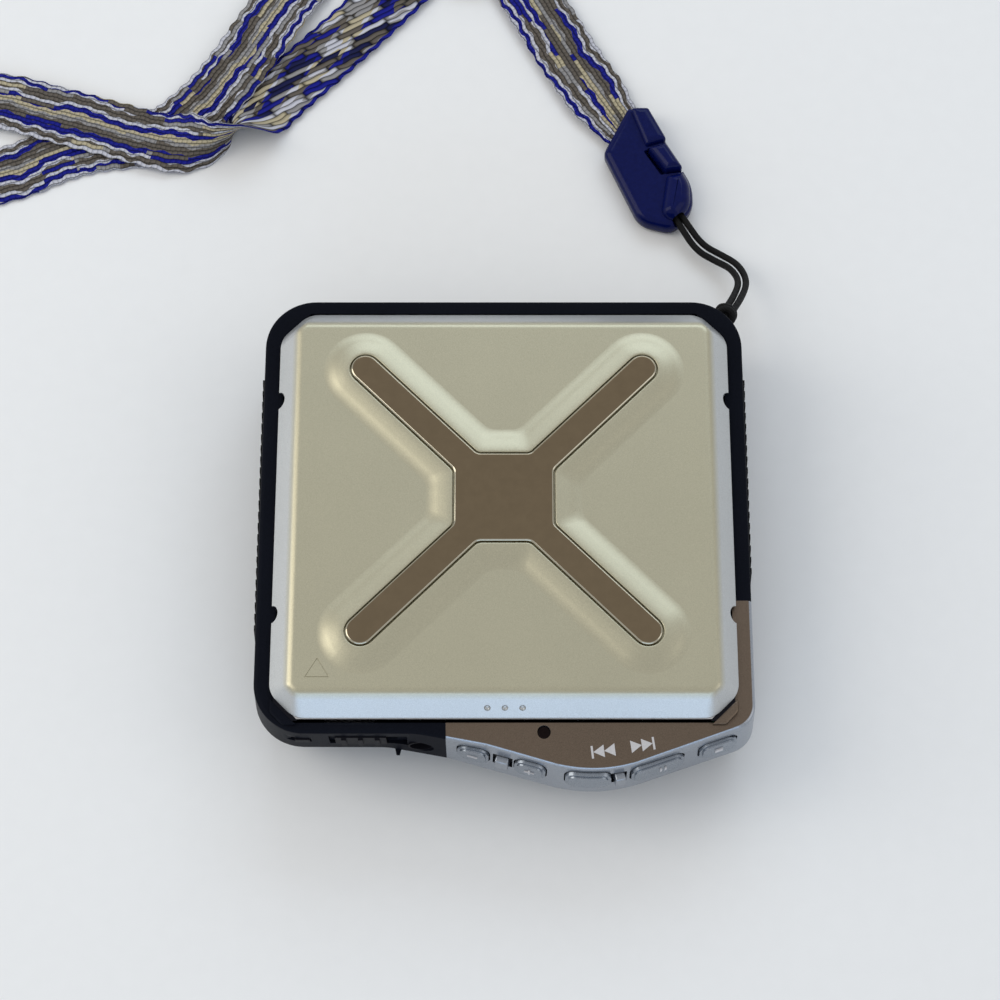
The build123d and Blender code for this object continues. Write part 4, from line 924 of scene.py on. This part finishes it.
def addLid():
    slope = math.atan2(lid["top"] - lid["low"], lid["bevel"])
    reach = lid["ridge"] * math.tan(slope / 2)
    rings = [lidRing(0.10, lid["low"]), lidRing(0.0, lid["low"] + 0.12)]
    rings.append(lidRing(lid["bevel"] - reach * math.cos(slope),
                         lid["top"] - reach * math.sin(slope)))
    for i in range(1, lid["ridgeSteps"] + 1):
        turn = slope * (1 - i / lid["ridgeSteps"])
        rings.append(lidRing(lid["bevel"] + reach - lid["ridge"] * math.sin(turn),
                             lid["top"] - lid["ridge"] * (1 - math.cos(turn))))
    rings.append(lidRing(lid["bevel"] + reach + 0.3, lid["top"]))
    skin = skinned("lidSkin", rings)
    modify(skin, "SOLIDIFY", thickness=lid["skin"] * mm, offset=-1, use_even_offset=True)
    for y in lid["notchAt"]:
        for side in (-1, 1):
            deselectAll()
            bpy.ops.mesh.primitive_cylinder_add(
                vertices=32, radius=lid["notch"] * mm, depth=4 * mm,
                location=(side * (lid["halfWidth"] + 0.1) * mm, y * mm, (lid["low"] + 0.2) * mm))
            bpy.ops.transform.resize(value=(1, lid["notchLength"], 1))
            cutWith(skin, bpy.context.object)
    for i in (-1, 0, 1):
        deselectAll()
        middleY = lid["front"] + lid["bevel"] * 0.38
        middleZ = lid["low"] + (lid["top"] - lid["low"]) * 0.38
        bpy.ops.mesh.primitive_uv_sphere_add(
            segments=24, ring_count=12, radius=lid["dimple"] * mm,
            location=((i * lid["dimplePitch"] + 0.15) * mm, (middleY - 0.12) * mm,
                      (middleZ + 0.1) * mm))
        cutWith(skin, bpy.context.object)
    inner = lid["arrowLine"]
    middle = Vector((sum(p[0] for p in lid["arrow"]) / 3, sum(p[1] for p in lid["arrow"]) / 3))
    loops = []
    for z in (lid["top"] - 0.12, lid["top"] + 0.2):
        for scale in (1.0, 1 - inner / 1.15):
            loops.append([(*(middle + (Vector(p) - middle) * scale) * mm, z * mm)
                          for p in lid["arrow"]])
    points = [p for loop in loops for p in loop]
    faces = []
    for j in range(3):
        k = (j + 1) % 3
        faces += [(j, k, 6 + k, 6 + j), (3 + k, 3 + j, 9 + j, 9 + k),
                  (k, j, 3 + j, 3 + k), (6 + j, 6 + k, 9 + k, 9 + j)]
    groove = meshPiece("arrowCutter", points, faces)
    outward(groove)
    cutWith(skin, groove)
    smooth(skin, 40, 20.0)
    settle(skin, "lid", finishes["lid_champagne"])

    steps = 16
    rings = []
    for i in range(steps + 1):
        share = i / steps
        grow = cross["foot"] + (cross["rampTop"] - cross["foot"]) * share
        ease = share * share * (3 - 2 * share)
        ease = 0.55 * ease + 0.45 * share if share > 0.5 else 0.55 * ease + 0.45 * share * (2 * share)
        rings.append(crossRing(grow, lid["top"] - 0.015 + (cross["rise"] + 0.015) * ease))
    rings.append(crossRing(cross["gap"] + 0.1, lid["top"] + cross["rise"]))
    rings.append(crossRing(cross["gap"], lid["top"] + cross["rise"] - 0.1))
    rings.append(crossRing(cross["gap"], lid["top"] + 0.05))
    plateau = skinned("lidPlateau", rings, capTop=True)
    smooth(plateau, 50, 40.0)
    settle(plateau, "lid", finishes["lid_champagne"])

    polish = cross["polish"]
    rings = [crossRing(0, cross["inlayLow"]), crossRing(0, cross["inlayTop"] - polish)]
    for i in range(1, 6):
        turn = math.radians(90 * i / 5)
        rings.append(crossRing(-polish * (1 - math.cos(turn)),
                               cross["inlayTop"] - polish * (1 - math.sin(turn))))
    rings.append(crossRing(-polish - 0.2, cross["inlayTop"]))
    inlay = skinned("crossInlay", rings, capTop=True, capLow=True)
    smooth(inlay, 50, 40.0)
    settle(inlay, "lid", finishes["inlay_bronze"])
    # the rim faces take the paler tone as a painted highlight
    inlay.data.materials.append(inlayRimHighlight.material)
    for face in inlay.data.polygons:
        face.material_index = 0 if face.normal.z > 0.985 else 1
    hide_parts("lid_cover")
    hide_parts("lid_cover")
    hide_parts("lid_inlay")


def addTrims():
    # small plates on the lid's frame, which carry the case's colours up to the lid's front corners
    for side, finish in ((1, "bronze_panel"), (-1, "black_case")):
        def mirrored(corners):
            turned = [(side * x, y, r) for x, y, r in corners]
            return turned if side > 0 else turned[::-1]
        under = mirrored([(33.0, -33.3, 0.1), (35.35, -33.3, 0.9), (37.1, -31.6, 0.9),
                          (37.1, -29.0, 0.1)])
        # under each trim lies a thin black sheet, painted shade for the dark gap line round the lid's
        # edge
        paintedShadeSheet = moulded(f"cornerShade{side + 1}", under, [(0, 21.455), (0, 21.49)])
        settle(paintedShadeSheet, "lid", finishes["inner_black"])
        cover = mirrored([(33.35, -33.8, 0.1), (35.6, -33.8, 1.2), (37.6, -31.8, 1.2),
                          (37.6, -29.55, 0.1)])
        top = moulded(f"cornerTrim{side + 1}", cover,
                      [(0, 20.76), (0.0, 21.3), (0.1, 21.52), (0.3, 21.6)])
        settle(top, "lid", finishes[finish])


def panelHeight(y):
    # the panel's top slopes down towards the front from its crease
    return 20.7 - math.tan(math.radians(9.63)) * max(-34.0 - y, 0)


def addPrint():
    # skip arrows on the panel
    half, arm, bar = 1.0, 1.75, 0.34
    marks = [
        # middle, turn in degrees, way the arrows point
        ((15.85, -37.9), 7, -1), ((22.2, -36.95), 9, 1),
    ]
    points, faces = [], []
    for (x0, y0), turn, way in marks:
        shapes = [[(0.0, -half), (arm, 0.0), (0.0, half)],
                  [(arm, -half), (2 * arm, 0.0), (arm, half)],
                  [(2 * arm, -half), (2 * arm + bar, -half), (2 * arm + bar, half), (2 * arm, half)]]
        spin = math.radians(turn)
        for shape in shapes:
            flat = [((x - arm - bar / 2) * way, y) for x, y in shape]
            if way < 0:
                flat.reverse()
            placed = [(x0 + x * math.cos(spin) - y * math.sin(spin),
                       y0 + x * math.sin(spin) + y * math.cos(spin)) for x, y in flat]
            start = len(points)
            for rise in (-0.05, 0.03):
                points += [(x * mm, y * mm, (panelHeight(y) + rise) * mm) for x, y in placed]
            n = len(placed)
            faces.append(tuple(start + n + i for i in range(n)))
            faces.append(tuple(start + n - 1 - i for i in range(n)))
            for i in range(n):
                k = (i + 1) % n
                faces.append((start + i, start + k, start + n + k, start + n + i))
    piece = meshPiece("panelPrint", points, faces)
    outward(piece)
    settle(piece, "case", printGrey)


webs = [
    # place ahead of the front wall, turn, room between the keys, block, depth of the room's floor
    ((-0.43, -38.9), -15.97, 3.3, 2.2, 1.25), ((18.75, -41.7), 13.5, 2.4, 1.7, 1.5),
]


keyMarks = [
    # key, body, place along the front, turn, bars as (along, up, width, height)
    ("volume_down_button", "volume_down", (-5.0, -37.15), -15.97, [(0, 0, 1.7, 0.34)]),
    ("volume_up_button", "volume_up", (4.15, -39.76), -15.97,
     [(0, 0, 1.7, 0.34), (0, 0, 0.34, 1.7)]),
    ("play_button", "play", (24.8, -39.44), 19.27,
     [(0.35, 0, 0.34, 1.5), (1.15, 0, 0.34, 1.5)]),
    ("stop_button", "stop", (34.6, -36.02), 19.27, [(0, 0, 1.3, 1.3)]),
]


def frontBlock(name, place, turn, width, low, high, back, front):
    # a bar square to the front face
    deselectAll()
    bpy.ops.mesh.primitive_cube_add(size=1)
    block = bpy.context.object
    block.name = name
    shape = Matrix.Diagonal((width * mm, (front + back) * mm, (high - low) * mm, 1))
    spin = Matrix.Rotation(math.radians(turn), 4, "Z")
    move = Matrix.Translation((place[0] * mm, place[1] * mm, (low + high) / 2 * mm))
    slide = Matrix.Translation((0, (back - front) / 2 * mm, 0))
    block.data.transform(move @ spin @ slide @ shape)
    return block


def addKeyMarks():
    # raised marks on the crowns of the keys
    for key, body, place, turn, bars in keyMarks:
        spin = math.radians(turn)
        outwards = Vector((math.sin(spin), -math.cos(spin), 0))
        foot = Vector((*place, 0)) * mm
        crown = max((v.co - foot).dot(outwards) for v in nodes[key].data.vertices
                    if abs(v.co.z - 15.5 * mm) < 2.2 * mm) / mm
        parts = []
        for along, up, width, height in bars:
            spot = foot / mm + Vector((math.cos(spin), math.sin(spin), 0)) * along
            low = 15.6 + up - height / 2
            parts.append(frontBlock("mark", spot, turn, width, low, low + height,
                                    0.4 - crown, crown + 0.06))
        pick(parts[0])
        for part in parts:
            part.select_set(True)
        if len(parts) > 1:
            bpy.ops.object.join()
        mark = bpy.context.object
        mark.name = key + "_mark"
        settle(mark, body, printGrey)


def addPanel():
    panel = softCopy("nosePanel", "control_panel", 0.12 * mm, 2)
    for i, (place, turn, room, width, back) in enumerate(webs):
        cutWith(panel, frontBlock("webRoom", place, turn, room, 13.5, 17.6, back, 3.0))
        web = frontBlock("keyWeb", place, turn, width, 13.8, 17.3, back + 0.2, 0.25)
        modify(web, "BEVEL", width=0.3 * mm, segments=3)
        web.name = f"keyWeb{i}"
        smooth(web, 50, 1.0)
        # the webs take the paler silver, a painted reflection
        settle(web, "case", panelReflectionSilver)
    smooth(panel, 40)
    settle(panel, "case", finishes["bronze_panel"])
    # the second finish, the paler silver, goes on faces that don't face up: painted reflection on the
    # front and a painted highlight along the rounded rim
    panel.data.materials.append(panelReflectionSilver.material)
    panel.data.materials.append(finishes["inner_black"].material)
    for face in panel.data.polygons:
        turn = -15.97 if face.center.x < 13 * mm else 19.27
        ahead = face.normal.dot(Vector((math.sin(math.radians(turn)),
                                        -math.cos(math.radians(turn)), 0)))
        # faces inside the key pockets and in the rooms beside the webs take the dark finish as painted
        # shade
        inPaintedShade = (ahead < 0.35 and face.center.z < 18.5 * mm and face.center.y < -34 * mm
                    and face.center.x < 38 * mm)
        for place, spin, room, _, back in webs:
            away = face.center.to_2d() / mm - Vector(place)
            out = Vector((math.sin(math.radians(spin)), -math.cos(math.radians(spin))))
            beside = abs(away.x * out.y - away.y * out.x)
            inPaintedShade = inPaintedShade or (beside < room / 2 and abs(away.dot(out) + back) < 0.08
                                    and 13.5 < face.center.z / mm < 17.6)
        face.material_index = 2 if inPaintedShade else (0 if face.normal.z > 0.93 else 1)
    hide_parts("control_panel")


addPanel()
addKeyMarks()
addPrint()
addLid()
addTrims()
print("lid done")

slots = {part["node"]: part["material_slot"] for part in frame["record"]["subparts"]}
for name, node in nodes.items():
    slot = slots.get(name)
    if slot in finishes:
        node.data.materials.clear()
        node.data.materials.append(finishes[slot].material)
    elif slot == "band_woven":
        node.data.materials.clear()
        node.data.materials.append(wovenFace.material)


def addFloor():
    deselectAll()
    bpy.ops.mesh.primitive_plane_add(size=studio["floorSize"])
    floor = bpy.context.object
    floor.name = "studioFloor"
    finish = Finish("floorPaper", studio["floorColour"], 0.7)
    fine = finish.noise(300, 2.0)
    finish.set(Base_Color=finish.mix(fine, shade(studio["floorColour"], 0.985),
                                     shade(studio["floorColour"], 1.015)))
    paint(floor, finish)


addFloor()
print("scene done")
